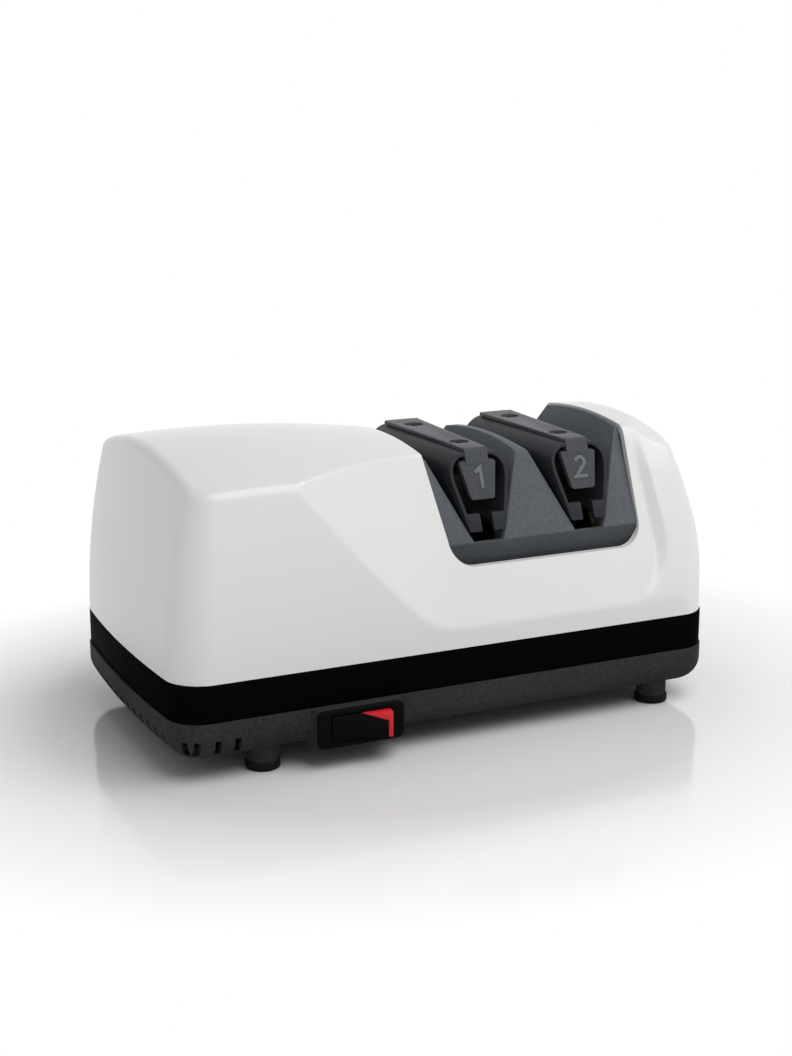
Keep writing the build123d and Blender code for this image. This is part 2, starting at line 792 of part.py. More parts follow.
# Each stage: an arched guide spring, the numbered bridge under it and the clamp strip on top
for number, x in enumerate(stage_xs, start=1):
    leg_inner_half = spring_foot_half - spring_wall
    knee_z = spring_foot_z + spring_pad_height
    screw_points = [(x, side * screw_y) for side in sides]

    with BuildPart() as spring_pads:
        with BuildSketch(Plane.XZ):
            for side in sides:
                with BuildLine():
                    Polyline(
                        (x + side * spring_pad_inner_half, spring_foot_z),
                        (x + side * (spring_foot_half - spring_wall / 2), spring_foot_z),
                        (x + side * (spring_knee_half - spring_wall / 2), knee_z),
                        (x + side * spring_pad_inner_half, knee_z),
                        close=True,
                    )
                make_face()
        extrude(amount=half_width, both=True)
        add(guide_block(0), mode=Mode.INTERSECT)
        add(guide_block(spring_pad_depth), mode=Mode.SUBTRACT)

    with BuildPart() as guide_spring:
        with BuildSketch(Plane.XZ) as arch:
            with BuildLine():
                Polyline(
                    (x - spring_foot_half, spring_foot_z),
                    (x + spring_foot_half, spring_foot_z),
                    (x + spring_knee_half, knee_z),
                    (x + spring_shoulder_half, spring_shoulder_z),
                    (x + spring_shoulder_half, spring_top_z),
                    (x - spring_shoulder_half, spring_top_z),
                    (x - spring_shoulder_half, spring_shoulder_z),
                    (x - spring_knee_half, knee_z),
                    close=True,
                )
            make_face()
            fillet(arch.vertices().group_by(Axis.Y)[2], spring_shoulder_radius)
            fillet(arch.vertices().group_by(Axis.Y)[-1], spring_top_radius)
            offset(amount=-spring_wall, kind=Kind.INTERSECTION, mode=Mode.SUBTRACT)
            with Locations((x, spring_foot_z)):
                Rectangle(2 * leg_inner_half, 2 * spring_wall + 2 * thread_clearance, mode=Mode.SUBTRACT)
        extrude(amount=half_width, both=True)
        add(guide_block(0), mode=Mode.INTERSECT)
        add(spring_pads.part)
        with BuildSketch(Plane.XY.offset(spring_top_z)):
            with Locations(*screw_points):
                Circle(screw_shank_radius + case_screw_clearance)
        extrude(amount=-spring_wall - seat_clearance, mode=Mode.SUBTRACT)
    save(guide_spring, f"guide_spring_{number}")

    top_run = guide_face_run * (strip_top_z - sill_top_z) / (tray_face_top_z - sill_top_z)
    strip_half_length = sill_y + guide_face_proud - top_run - strip_end_inset
    with BuildPart() as clamp_strip:
        with BuildSketch(Plane.XY.offset(spring_top_z)):
            with BuildLine():
                Polyline(
                    (x - strip_front_half, -strip_half_length),
                    (x + strip_front_half, -strip_half_length),
                    (x + strip_rear_half, strip_half_length),
                    (x - strip_rear_half, strip_half_length),
                    close=True,
                )
            make_face()
        extrude(amount=strip_thickness)
        with BuildSketch(Plane.XY.offset(strip_top_z)):
            with Locations(*screw_points):
                Circle(screw_recess_radius)
        extrude(amount=-screw_recess_depth, mode=Mode.SUBTRACT)
        with BuildSketch(Plane.XY.offset(strip_top_z)):
            with Locations(*screw_points):
                Circle(screw_shank_radius + case_screw_clearance)
        extrude(amount=-strip_thickness, mode=Mode.SUBTRACT)
    save(clamp_strip, f"clamp_strip_{number}")

    bar_top_z = spring_top_z - spring_wall - thread_clearance
    with BuildPart() as number_plates:
        with BuildSketch(Plane.XZ) as plate:
            with BuildLine():
                Polyline(
                    (x - plate_bottom_half, plate_bottom_z),
                    (x + plate_bottom_half, plate_bottom_z),
                    (x + plate_top_half, plate_top_z),
                    (x - plate_top_half, plate_top_z),
                    close=True,
                )
            make_face()
            fillet(plate.vertices(), plate_corner_radius)
            with Locations((x, (plate_top_z + bar_top_z) / 2)):
                Rectangle(2 * bridge_neck_half, bar_top_z - plate_top_z + 2 * plate_corner_radius)
        extrude(amount=half_width, both=True)
        add(guide_block(0), mode=Mode.INTERSECT)
        add(guide_block(plate_thickness), mode=Mode.SUBTRACT)

    with BuildPart() as stage_bridge:
        with BuildSketch(Plane.XZ):
            with Locations((x, bar_top_z - bar_height / 2)):
                Rectangle(2 * bridge_neck_half, bar_height)
        extrude(amount=half_width, both=True)
        add(guide_block(plate_thickness / 2), mode=Mode.INTERSECT)
        add(number_plates.part)
        with BuildSketch(Plane.XY.offset(bar_top_z - bar_height)):
            with Locations(*screw_points):
                Rectangle(2 * screw_boss_half, 2 * screw_boss_half)
        extrude(amount=-screw_boss_height)
        with BuildSketch(Plane.XY.offset(beam_top_z)):
            with Locations((x, 0)):
                Rectangle(2 * post_half_width, 2 * post_half_depth)
        extrude(amount=bar_top_z - bar_height - beam_top_z)
        with BuildSketch(Plane.XY.offset(bar_top_z)):
            with Locations(*screw_points):
                Circle(screw_shank_radius + thread_clearance)
        extrude(amount=-screw_length, mode=Mode.SUBTRACT)
        split(bisect_by=Plane.XY.offset(bar_top_z), keep=Keep.BOTTOM)
    save(stage_bridge, f"stage_bridge_{number}")

# Screws that clamp strip, spring and bridge together
all_screw_points = [(x, side * screw_y) for x in stage_xs for side in sides]
screw_seat_z = strip_top_z - screw_recess_depth
with BuildPart() as spring_screws:
    with BuildSketch(Plane.XY.offset(screw_seat_z)):
        with Locations(*all_screw_points):
            Circle(screw_head_radius)
    extrude(amount=screw_head_height)
    with BuildSketch(Plane.XY.offset(screw_seat_z)):
        with Locations(*all_screw_points):
            Circle(screw_shank_radius)
    extrude(amount=-screw_length)
save(spring_screws, "spring_screws")

# Sharpening discs: dished steel cones that face the middle of their stage and slide on the shaft
for number, stage_x in enumerate(stage_xs, start=1):
    for side_name, side in (("left", -1), ("right", 1)):
        bore = shaft_radius + running_clearance
        with BuildPart() as disc:
            with BuildSketch(Plane.XZ):
                with BuildLine():
                    Polyline(
                        (stage_x + side * hub_inner_offset, shaft_z + bore),
                        (stage_x + side * hub_inner_offset, shaft_z + hub_radius),
                        (stage_x + side * disc_face_offset, shaft_z + hub_radius),
                        (stage_x + side * disc_face_offset, shaft_z + disc_face_radius),
                        (stage_x + side * disc_rim_offset, shaft_z + disc_radius),
                        (stage_x + side * (disc_rim_offset + disc_sheet), shaft_z + disc_radius),
                        (stage_x + side * (disc_face_offset + disc_sheet), shaft_z + disc_face_radius),
                        (stage_x + side * (disc_face_offset + disc_sheet), shaft_z + hub_radius),
                        (stage_x + side * hub_outer_offset, shaft_z + hub_radius),
                        (stage_x + side * hub_outer_offset, shaft_z + bore),
                        close=True,
                    )
                make_face()
            revolve(axis=shaft_axis)
            slot_end = drive_pin_offset + drive_pin_radius + pin_clearance
            with Locations((stage_x + side * slot_end / 2, 0, shaft_z)):
                Box(slot_end, 2 * (drive_pin_radius + pin_clearance), 2 * hub_radius, mode=Mode.SUBTRACT)
        save(disc, f"disc_{number}_{side_name}")

        collar_face = stage_pitch / 2 - collar_width / 2
        spring_length = collar_face - hub_outer_offset - 2 * thread_clearance
        spring_middle = stage_x + side * (hub_outer_offset + collar_face) / 2
        with BuildPart() as disc_spring:
            with BuildSketch(Plane.YZ.offset(spring_middle - spring_length / 2)):
                with Locations((0, shaft_z)):
                    Circle(disc_spring_radius)
                    Circle(disc_spring_radius - disc_spring_wall, mode=Mode.SUBTRACT)
            extrude(amount=spring_length)
        save(disc_spring, f"disc_spring_{number}_{side_name}")

# Shaft with its collars and drive pins
pin_xs = [x + side * drive_pin_offset for x in stage_xs for side in sides]
with BuildPart() as motor_shaft:
    with BuildSketch(Plane.YZ.offset(shaft_left_x)):
        with Locations((0, shaft_z)):
            Circle(shaft_radius)
    extrude(amount=shaft_right_x - shaft_left_x)
    with BuildSketch(Plane.XY.offset(shaft_z - shaft_radius)):
        with Locations(*[(x, 0) for x in pin_xs]):
            Circle(drive_pin_radius + thread_clearance)
    extrude(amount=2 * shaft_radius, mode=Mode.SUBTRACT)
save(motor_shaft, "motor_shaft")

with BuildPart() as drive_pins:
    with BuildSketch(Plane.XY.offset(shaft_z - drive_pin_length / 2)):
        with Locations(*[(x, 0) for x in pin_xs]):
            Circle(drive_pin_radius)
    extrude(amount=drive_pin_length)
save(drive_pins, "drive_pins")

with BuildPart() as shaft_collars:
    for x in collar_xs:
        with BuildSketch(Plane.YZ.offset(x - collar_width / 2)):
            with Locations((0, shaft_z)):
                Circle(collar_radius)
                Circle(shaft_radius + thread_clearance, mode=Mode.SUBTRACT)
        extrude(amount=collar_width)
save(shaft_collars, "shaft_collars")

# Shaded-pole motor
stack_left_x = motor_x - stack_length / 2
leg_bottom_z = shaft_z + stack_above - coil_leg_height
motor_screw_points = [(side * motor_screw_y, shaft_z) for side in sides]
with BuildPart() as stator_core:
    with BuildSketch(Plane.YZ.offset(stack_left_x)) as lamination:
        with Locations((0, shaft_z + (stack_above - stack_below) / 2)):
            RectangleRounded(2 * stack_half_width, stack_above + stack_below, stack_corner_radius)
        with Locations((0, shaft_z)):
            Circle(stator_bore_radius, mode=Mode.SUBTRACT)
        with Locations((0, (shaft_z + window_bottom + leg_bottom_z) / 2)):
            Rectangle(2 * window_half_width, leg_bottom_z - shaft_z - window_bottom, mode=Mode.SUBTRACT)
        with Locations((0, shaft_z + window_bottom / 2)):
            Rectangle(shading_slot, window_bottom + shading_slot, mode=Mode.SUBTRACT)
        with Locations(*motor_screw_points):
            Circle(motor_screw_radius + case_screw_clearance, mode=Mode.SUBTRACT)
    extrude(amount=stack_length)
save(stator_core, "stator_core")

coil_bottom_z = leg_bottom_z - coil_build_below
coil_top_z = shaft_z + stack_above + coil_build_above
with BuildPart() as field_coil:
    with BuildSketch(Plane.XZ.offset(-coil_half_width)):
        with Locations((motor_x, (coil_bottom_z + coil_top_z) / 2)):
            RectangleRounded(stack_length + 2 * coil_overhang, coil_top_z - coil_bottom_z, coil_corner_radius)
        with Locations((motor_x, leg_bottom_z + coil_leg_height / 2)):
            Rectangle(
                stack_length + 2 * seat_clearance, coil_leg_height + 2 * seat_clearance, mode=Mode.SUBTRACT
            )
    extrude(amount=2 * coil_half_width)
save(field_coil, "field_coil")

for side_name, side in (("left", -1), ("right", 1)):
    plate_x = motor_x + side * (stack_length / 2 + bracket_gap + bracket_thickness / 2)
    foot_x = motor_x + side * (stack_length / 2 + bracket_gap / 2)
    with BuildPart() as bearing_bracket:
        with Locations((plate_x, 0, shaft_z)):
            Box(bracket_thickness, 2 * bracket_half_width, 2 * bracket_half_height)
        for end in sides:
            with Locations((foot_x, end * (bracket_half_width - bracket_foot_width / 2), shaft_z)):
                Box(bracket_gap, bracket_foot_width, 2 * bracket_half_height)
        with BuildSketch(Plane.YZ.offset(motor_x)):
            with Locations((0, shaft_z)):
                Circle(bearing_radius + thread_clearance)
            with Locations(*motor_screw_points):
                Circle(motor_screw_radius + case_screw_clearance)
        extrude(amount=half_length, both=True, mode=Mode.SUBTRACT)
    save(bearing_bracket, f"bearing_bracket_{side_name}")

with BuildPart() as sleeve_bearings:
    for side in sides:
        plate_x = motor_x + side * (stack_length / 2 + bracket_gap + bracket_thickness / 2)
        with BuildSketch(Plane.YZ.offset(plate_x - bearing_length / 2)):
            with Locations((0, shaft_z)):
                Circle(bearing_radius)
                Circle(shaft_radius + running_clearance, mode=Mode.SUBTRACT)
        extrude(amount=bearing_length)
save(sleeve_bearings, "sleeve_bearings")

with BuildPart() as motor_screws:
    with BuildSketch(Plane.YZ.offset(motor_x - motor_half)):
        with Locations(*motor_screw_points):
            Circle(motor_screw_radius)
    extrude(amount=2 * motor_half)
    for start_x in (motor_x - motor_half - motor_screw_head_height, motor_x + motor_half):
        with BuildSketch(Plane.YZ.offset(start_x)):
            with Locations(*motor_screw_points):
                Circle(motor_screw_head_radius)
        extrude(amount=motor_screw_head_height)
save(motor_screws, "motor_screws")

with BuildPart() as rotor_core:
    with BuildSketch(Plane.YZ.offset(stack_left_x)):
        with Locations((0, shaft_z)):
            Circle(stator_bore_radius - rotor_gap)
            Circle(shaft_radius + thread_clearance, mode=Mode.SUBTRACT)
    extrude(amount=stack_length)
save(rotor_core, "rotor_core")

fan_plane = Plane(origin=(fan_x, 0, shaft_z), x_dir=(0, 1, 0), z_dir=(1, 0, 0))
blade_length = fan_radius - fan_hub_radius + fan_blade_root
with BuildPart(fan_plane) as cooling_fan:
    Cylinder(fan_hub_radius, fan_hub_length)
    with PolarLocations(fan_radius - blade_length / 2, fan_blade_count):
        Box(blade_length, fan_blade_chord, fan_blade_thickness, rotation=(fan_blade_angle, 0, 0))
    Cylinder(shaft_radius + thread_clearance, fan_hub_length + overrun, mode=Mode.SUBTRACT)
save(cooling_fan, "cooling_fan")

# Bearing at the far end of the shaft, on a bracket that stands on the base
with BuildPart() as outboard_bracket:
    with BuildSketch(Plane.YZ.offset(outboard_x - outboard_thickness / 2)):
        with BuildLine():
            top_arc = CenterArc((0, shaft_z), outboard_half_width, 0, 180)
            Polyline(
                top_arc @ 1,
                (-outboard_half_width, floor_z),
                (outboard_half_width, floor_z),
                top_arc @ 0,
            )
        make_face()
    extrude(amount=outboard_thickness)
    with Locations((outboard_x, 0, floor_z + outboard_foot_height / 2)):
        Box(outboard_foot_length, 2 * outboard_foot_half, outboard_foot_height)
    with BuildSketch(Plane.YZ.offset(outboard_x)):
        with Locations((0, shaft_z)):
            Circle(bearing_radius + thread_clearance)
    extrude(amount=outboard_thickness, both=True, mode=Mode.SUBTRACT)
save(outboard_bracket, "outboard_bracket")

with BuildPart() as outboard_bearing:
    with BuildSketch(Plane.YZ.offset(outboard_x - bearing_length / 2)):
        with Locations((0, shaft_z)):
            Circle(bearing_radius)
            Circle(shaft_radius + running_clearance, mode=Mode.SUBTRACT)
    extrude(amount=bearing_length)
save(outboard_bearing, "outboard_bearing")

# Switch: bezel on the pod, rocker that tips about an upright axis, red flag on its raised half
opening_length = rocker_length + 2 * rocker_clearance
opening_height = rocker_height + 2 * rocker_clearance
with BuildPart() as switch_bezel:
    with BuildSketch(Plane.XZ.offset(-pod_face_y)):
        with Locations((switch_x, switch_z)):
            RectangleRounded(bezel_width, bezel_height, bezel_corner_radius)
            Rectangle(opening_length, opening_height, mode=Mode.SUBTRACT)
    extrude(amount=bezel_thickness)
save(switch_bezel, "switch_bezel")

pivot_y = bezel_face_y + rocker_pivot_inset
tilt = radians(rocker_tilt)
face_middle = (pivot_y - bezel_face_y + rocker_rest_proud) / cos(tilt)
face_end = face_middle + rocker_length / 2 * tan(tilt)
rocker_plane = Plane(
    origin=(switch_x, pivot_y, switch_z - rocker_height / 2),
    x_dir=(cos(tilt), -sin(tilt), 0),
    z_dir=(0, 0, 1),
)
heel_x = rocker_length / 2 * rocker_heel_share
with BuildPart() as whole_rocker:
    with BuildSketch(rocker_plane):
        with BuildLine():
            Polyline(
                (-rocker_length / 2, -face_end),
                (0, -face_middle),
                (rocker_length / 2, -face_end),
                (rocker_length / 2, 0),
                (heel_x, rocker_depth),
                (-heel_x, rocker_depth),
                (-rocker_length / 2, 0),
                close=True,
            )
        make_face()
    extrude(amount=rocker_height)

rocker_top_z = switch_z + rocker_height / 2
flag_left_x = switch_x + rocker_length / 2 - flag_end
with BuildPart() as flag_form:
    with BuildSketch(Plane.XZ.offset(-pivot_y)):
        with BuildLine():
            Polyline(
                (switch_x, rocker_top_z),
                (flag_left_x, rocker_top_z - flag_drop),
                (flag_left_x, rocker_top_z - rocker_height),
                (flag_left_x + rocker_length, rocker_top_z - rocker_height),
                (flag_left_x + rocker_length, rocker_top_z),
                close=True,
            )
        make_face()
    extrude(amount=rocker_length)

with BuildPart() as switch_rocker:
    add(whole_rocker.part)
    add(flag_form.part, mode=Mode.SUBTRACT)
save(switch_rocker, "switch_rocker")

with BuildPart() as rocker_flag:
    add(whole_rocker.part)
    add(flag_form.part, mode=Mode.INTERSECT)
save(rocker_flag, "rocker_flag")

body_front_y = pod_face_y + rocker_well_depth
with BuildPart() as switch_body:
    with BuildSketch(Plane.XZ.offset(-body_front_y)):
        with Locations((switch_x, switch_z)):
            Rectangle(switch_body_width, switch_body_height)
    extrude(amount=-switch_body_depth)
save(switch_body, "switch_body")

with BuildPart() as switch_terminals:
    with BuildSketch(Plane.XZ.offset(-body_front_y - switch_body_depth)):
        with Locations((switch_x, switch_z)):
            with GridLocations(terminal_pitch, terminal_pitch, 3, 1):
                Rectangle(terminal_thickness, terminal_width)
    extrude(amount=-terminal_length)
save(switch_terminals, "switch_terminals")

# Bush in the rear wall where the mains lead enters, standing as proud as the switch does in front
inlet_reach = -rocker_flag.part.bounding_box().min.Y
with BuildPart() as cord_inlet:
    with BuildSketch(Plane.XZ.offset(-half_width)):
        with Locations((switch_x, inlet_z)):
            Circle(inlet_collar_radius)
    extrude(amount=-(inlet_reach - half_width))
    with BuildSketch(Plane.XZ.offset(-half_width)):
        with Locations((switch_x, inlet_z)):
            Circle(inlet_sleeve_radius)
    extrude(amount=base_wall)
    with BuildSketch(Plane.XZ.offset(-half_width + base_wall)):
        with Locations((switch_x, inlet_z)):
            Circle(inlet_flange_radius)
    extrude(amount=inlet_flange_thickness)
    with BuildSketch(Plane.XZ.offset(-inlet_reach)):
        with Locations((switch_x, inlet_z)):
            Circle(inlet_bore_radius)
    extrude(amount=half_width, mode=Mode.SUBTRACT)
save(cord_inlet, "cord_inlet")
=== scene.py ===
import json
import math
import bmesh
import bpy
import numpy as np
from mathutils import Matrix, Vector


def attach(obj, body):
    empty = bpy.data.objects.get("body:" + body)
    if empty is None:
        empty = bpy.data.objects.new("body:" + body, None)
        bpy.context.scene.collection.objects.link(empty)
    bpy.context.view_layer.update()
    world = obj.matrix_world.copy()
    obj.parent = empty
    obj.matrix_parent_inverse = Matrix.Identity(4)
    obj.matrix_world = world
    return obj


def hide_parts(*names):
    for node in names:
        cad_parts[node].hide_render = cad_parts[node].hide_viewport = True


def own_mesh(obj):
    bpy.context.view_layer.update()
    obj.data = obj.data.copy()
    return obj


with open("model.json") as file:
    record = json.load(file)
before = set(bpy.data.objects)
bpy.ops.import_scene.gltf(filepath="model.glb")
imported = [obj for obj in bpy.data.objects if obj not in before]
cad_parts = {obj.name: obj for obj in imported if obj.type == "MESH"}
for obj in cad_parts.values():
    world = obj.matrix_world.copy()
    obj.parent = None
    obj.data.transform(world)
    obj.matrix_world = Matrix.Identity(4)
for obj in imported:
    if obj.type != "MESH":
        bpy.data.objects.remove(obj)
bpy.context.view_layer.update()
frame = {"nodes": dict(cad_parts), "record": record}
mm = 0.001
# where the stages and the shaft lie, in millimetres
stageSize = {
    "middles": (16.2, 55.8),
    "shaft": 45.7,
    "discRim": 25.0,
}
print("frame loaded:", len(frame["nodes"]), "nodes")


class Wire:
    # a socket that can stand in an expression
    def __init__(self, finish, socket):
        self.finish = finish
        self.socket = socket

    def maths(self, operation, first, second):
        node = self.finish.add("ShaderNodeMath", {"operation": operation}, {0: first, 1: second})
        return Wire(self.finish, node.outputs[0])

    def __add__(self, other):
        return self.maths("ADD", self, other)

    def __radd__(self, other):
        return self.maths("ADD", other, self)

    def __sub__(self, other):
        return self.maths("SUBTRACT", self, other)

    def __rsub__(self, other):
        return self.maths("SUBTRACT", other, self)

    def __mul__(self, other):
        return self.maths("MULTIPLY", self, other)


class Finish:
    # one material and the nodes that make it
    def __init__(self, name, **settings):
        self.material = bpy.data.materials.new(name)
        self.material.use_nodes = True
        self.tree = self.material.node_tree
        self.shader = self.tree.nodes["Principled BSDF"]
        self.coords = self.tree.nodes.new("ShaderNodeTexCoord")
        for socket, value in settings.items():
            self.set(socket.replace("_", " "), value)

    def add(self, kind, settings, sockets):
        node = self.tree.nodes.new(kind)
        for key, value in settings.items():
            setattr(node, key, value)
        for key, value in sockets.items():
            self.feed(node.inputs[key], value)
        return node

    def feed(self, socket, value):
        if isinstance(value, Wire):
            self.tree.links.new(value.socket, socket)
        elif isinstance(value, bpy.types.NodeSocket):
            self.tree.links.new(value, socket)
        elif isinstance(value, tuple) and len(value) == 3 and socket.type == "RGBA":
            socket.default_value = (*value, 1)
        else:
            socket.default_value = value

    def set(self, name, value):
        self.feed(self.shader.inputs[name], value)

    def noise(self, scale, detail=2.0, roughness=0.5, stretch=(1, 1, 1)):
        place = self.add("ShaderNodeMapping", {}, {"Vector": self.coords.outputs["Object"], "Scale": stretch})
        node = self.add(
            "ShaderNodeTexNoise", {},
            {"Vector": place.outputs[0], "Scale": scale, "Detail": detail, "Roughness": roughness},
        )
        return Wire(self, node.outputs[0])

    def cells(self, scale):
        node = self.add("ShaderNodeTexVoronoi", {}, {"Vector": self.coords.outputs["Object"], "Scale": scale})
        return Wire(self, node.outputs["Distance"])

    def bands(self, direction, scale):
        vector = self.coords.outputs["Object"]
        node = self.add("ShaderNodeTexWave", {"bands_direction": direction}, {"Vector": vector, "Scale": scale})
        return Wire(self, node.outputs["Fac"])

    def outward(self, shift, stretch):
        # distance from a point, with each axis stretched
        vector = self.coords.outputs["Object"]
        place = self.add("ShaderNodeMapping", {}, {"Vector": vector, "Location": shift, "Scale": stretch})
        length = self.add("ShaderNodeVectorMath", {"operation": "LENGTH"}, {0: place.outputs[0]})
        return Wire(self, length.outputs["Value"])

    def axis(self, name):
        parts = self.add("ShaderNodeSeparateXYZ", {}, {0: self.coords.outputs["Object"]})
        return Wire(self, parts.outputs[name])

    def reach(self, name):
        # distance from the middle plane across an axis
        along = self.axis(name)
        return along.maths("ABSOLUTE", along, 0.0)

    def between(self, factor, first, second):
        node = self.add("ShaderNodeMix", {"data_type": "RGBA"}, {0: factor, 6: first, 7: second})
        return node.outputs[2]

    def steps(self, value, low, high):
        node = self.add("ShaderNodeMapRange", {}, {0: value, 1: low, 2: high})
        return Wire(self, node.outputs[0])

    def bump(self, height, strength, distance):
        node = self.add("ShaderNodeBump", {}, {"Strength": strength, "Distance": distance, "Height": height})
        self.set("Normal", node.outputs[0])


# near-black colour of painted shade, mixed into grainy plastic where shade falls
paintedShadeColour = (0.006, 0.0065, 0.007)


def grainyPlastic(name, light, dark, roughness, grain=900, depth=0.35, shine=0.12, paintedShade=None):
    # moulded plastic with an etched grain, with painted shade where its mask says so
    look = Finish(name, Specular_IOR_Level=shine)
    fine = look.noise(grain, 3.0, 0.6)
    broad = look.noise(45, 2.0)
    tone = look.between(look.steps(fine * 0.7 + broad * 0.3, 0.35, 0.65), dark, light)
    if paintedShade:
        low, high, share = paintedShade
        mask = look.steps(look.reach("Y"), low * mm, high * mm) * share
        tone = look.between(mask, tone, paintedShadeColour)
    look.set("Base Color", tone)
    look.set("Roughness", roughness + (fine - 0.5) * 0.18)
    look.bump(fine, depth, 0.00025)
    return look.material


def smoothPlastic(name, colour, roughness, shade=0.94, shine=0.3):
    # polished moulding with a hint of flow in its surface
    look = Finish(name, Specular_IOR_Level=shine)
    broad = look.noise(14, 2.0)
    fine = look.noise(420, 2.0)
    dark = tuple(part * shade for part in colour)
    look.set("Base Color", look.between(look.steps(broad, 0.3, 0.7), dark, colour))
    look.set("Roughness", roughness + (broad - 0.5) * 0.05)
    look.bump(fine, 0.03, 0.0001)
    return look.material


def drawnMetal(name, light, dark, roughness, stretch=(1, 30, 30)):
    # metal with fine lines along one axis
    look = Finish(name, Metallic=1.0)
    lines = look.noise(160, 3.0, 0.6, stretch)
    look.set("Base Color", look.between(look.steps(lines, 0.3, 0.7), dark, light))
    look.set("Roughness", roughness + (lines - 0.5) * 0.2)
    look.bump(lines, 0.15, 0.0001)
    return look.material


def abrasiveMetal(name, axisHeight, rimStart, rimFade=0.0003):
    # near-black grit on the dished face, partly painted shade; gold band at the rim, partly a painted glint
    look = Finish(name, Specular_IOR_Level=0.2)
    grit = look.cells(1600)
    cloud = look.noise(120, 3.0)
    radius = look.outward((0, 0, -axisHeight), (0, 1, 1))
    rim = look.steps(radius, rimStart, rimStart + rimFade)
    gold = look.between(look.steps(grit + cloud * 0.4, 0.25, 0.75), (1.0, 0.88, 0.6), (0.9, 0.7, 0.36))
    dark = look.between(look.steps(cloud, 0.3, 0.7), (0.012, 0.011, 0.01), (0.03, 0.028, 0.025))
    look.set("Base Color", look.between(rim, dark, gold))
    look.set("Metallic", rim)
    look.set("Roughness", 0.62 - rim * 0.12 + grit * 0.1)
    look.bump(grit, 0.4, 0.0002)
    return look.material


def layeredSteel(name):
    # a stack of thin laminations along the shaft
    look = Finish(name, Metallic=0.9)
    line = look.bands("X", 320.0)
    rust = look.noise(60, 4.0)
    mixed = look.steps(line * 0.6 + rust * 0.4, 0.2, 0.8)
    look.set("Base Color", look.between(mixed, (0.13, 0.13, 0.14), (0.36, 0.36, 0.38)))
    look.set("Roughness", 0.38 + rust * 0.2)
    look.bump(line, 0.4, 0.0002)
    return look.material


def woundCopper(name):
    # enamelled wire, wound around the leg of the stack
    look = Finish(name, Metallic=0.7)
    wire = look.bands("Y", 300.0)
    cloud = look.noise(70, 3.0)
    mixed = look.steps(wire * 0.8 + cloud * 0.2, 0.1, 0.9)
    look.set("Base Color", look.between(mixed, (0.16, 0.05, 0.015), (0.62, 0.25, 0.09)))
    look.set("Roughness", 0.3 + cloud * 0.2)
    look.bump(wire, 0.6, 0.0003)
    return look.material


finishes = {
    "shell": smoothPlastic("whiteGloss", (0.83, 0.83, 0.825), 0.18, 0.985, 0.42),
    "band": smoothPlastic("blackGloss", (0.003, 0.003, 0.003), 0.35, 0.9, 0.001),
    "base": grainyPlastic("charcoalGrain", (0.05, 0.053, 0.057), (0.028, 0.03, 0.032), 0.6, shine=0.03),
    "rubber": grainyPlastic("blackRubber", (0.016, 0.016, 0.017), (0.008, 0.008, 0.009), 0.72, 500, 0.25, 0.06),
    # the sill's upright face, beyond 41.15 mm from the middle plane, gets painted shade
    "tray": grainyPlastic(
        "greyGrain", (0.128, 0.14, 0.153), (0.087, 0.096, 0.107), 0.5, 1000, paintedShade=(40.9, 41.15, 0.45),
    ),
    "spring": smoothPlastic("charcoalSatin", (0.028, 0.03, 0.035), 0.45, 0.85, 0.14),
    "strip": grainyPlastic("stripGrain", (0.135, 0.142, 0.152), (0.084, 0.09, 0.099), 0.5, 1000),
    # the post behind the plate, within 27.4 mm of the middle plane, gets painted shade
    "plate": grainyPlastic(
        "plateGrain", (0.085, 0.09, 0.097), (0.055, 0.059, 0.064), 0.5, 1100, 0.5, paintedShade=(28.4, 27.4, 0.9),
    ),
    "disc": abrasiveMetal("goldRimPaintedGlint", stageSize["shaft"] * mm, stageSize["discRim"] * mm),
    "steel": drawnMetal("plainSteel", (0.6, 0.6, 0.6), (0.42, 0.42, 0.43), 0.34),
    "lamination": layeredSteel("stackedSteel"),
    "bracket": drawnMetal("castAlloy", (0.7, 0.71, 0.73), (0.52, 0.53, 0.55), 0.45, (1, 1, 1)),
    "bearing": drawnMetal("sinteredBronze", (0.62, 0.42, 0.2), (0.42, 0.27, 0.11), 0.42, (1, 1, 1)),
    "coil": woundCopper("woundCopper"),
    "fan": smoothPlastic("fanPlastic", (0.7, 0.7, 0.68), 0.4),
    "switch": smoothPlastic("switchBlack", (0.0045, 0.0045, 0.005), 0.35, shine=0.03),
    "flag": smoothPlastic("signalRed", (0.8, 0.022, 0.03), 0.3),
    "inlet": grainyPlastic("bushBlack", (0.022, 0.022, 0.023), (0.014, 0.014, 0.015), 0.6),
}
extras = {
    # numerals lighter grey than the plate: a painted highlight on their raised strokes
    "numeral": grainyPlastic("numeralPaintedHighlight", (0.2, 0.21, 0.22), (0.14, 0.148, 0.155), 0.45, 1100, 0.3),
    # black screw finish, partly painted shade for the recessed screw holes
    "screw": smoothPlastic("blackScrewPaintedShade", (0.009, 0.009, 0.0095), 0.45, 0.8, 0.1),
}
slotOf = {part["node"]: part["material_slot"] for part in frame["record"]["subparts"]}
for nodeName, node in frame["nodes"].items():
    node.data.materials.clear()
    node.data.materials.append(finishes[slotOf[nodeName]])
print("finishes:", len(finishes))


def meshObject(name, verts, faces):
    mesh = bpy.data.meshes.new(name)
    mesh.from_pydata(verts, [], faces)
    mesh.update()
    piece = bpy.data.objects.new(name, mesh)
    bpy.context.scene.collection.objects.link(piece)
    return piece


def shapeObject(name, shape):
    # an object from a finished bmesh, which is freed
    mesh = bpy.data.meshes.new(name)
    shape.to_mesh(mesh)
    shape.free()
    piece = bpy.data.objects.new(name, mesh)
    bpy.context.scene.collection.objects.link(piece)
    return piece


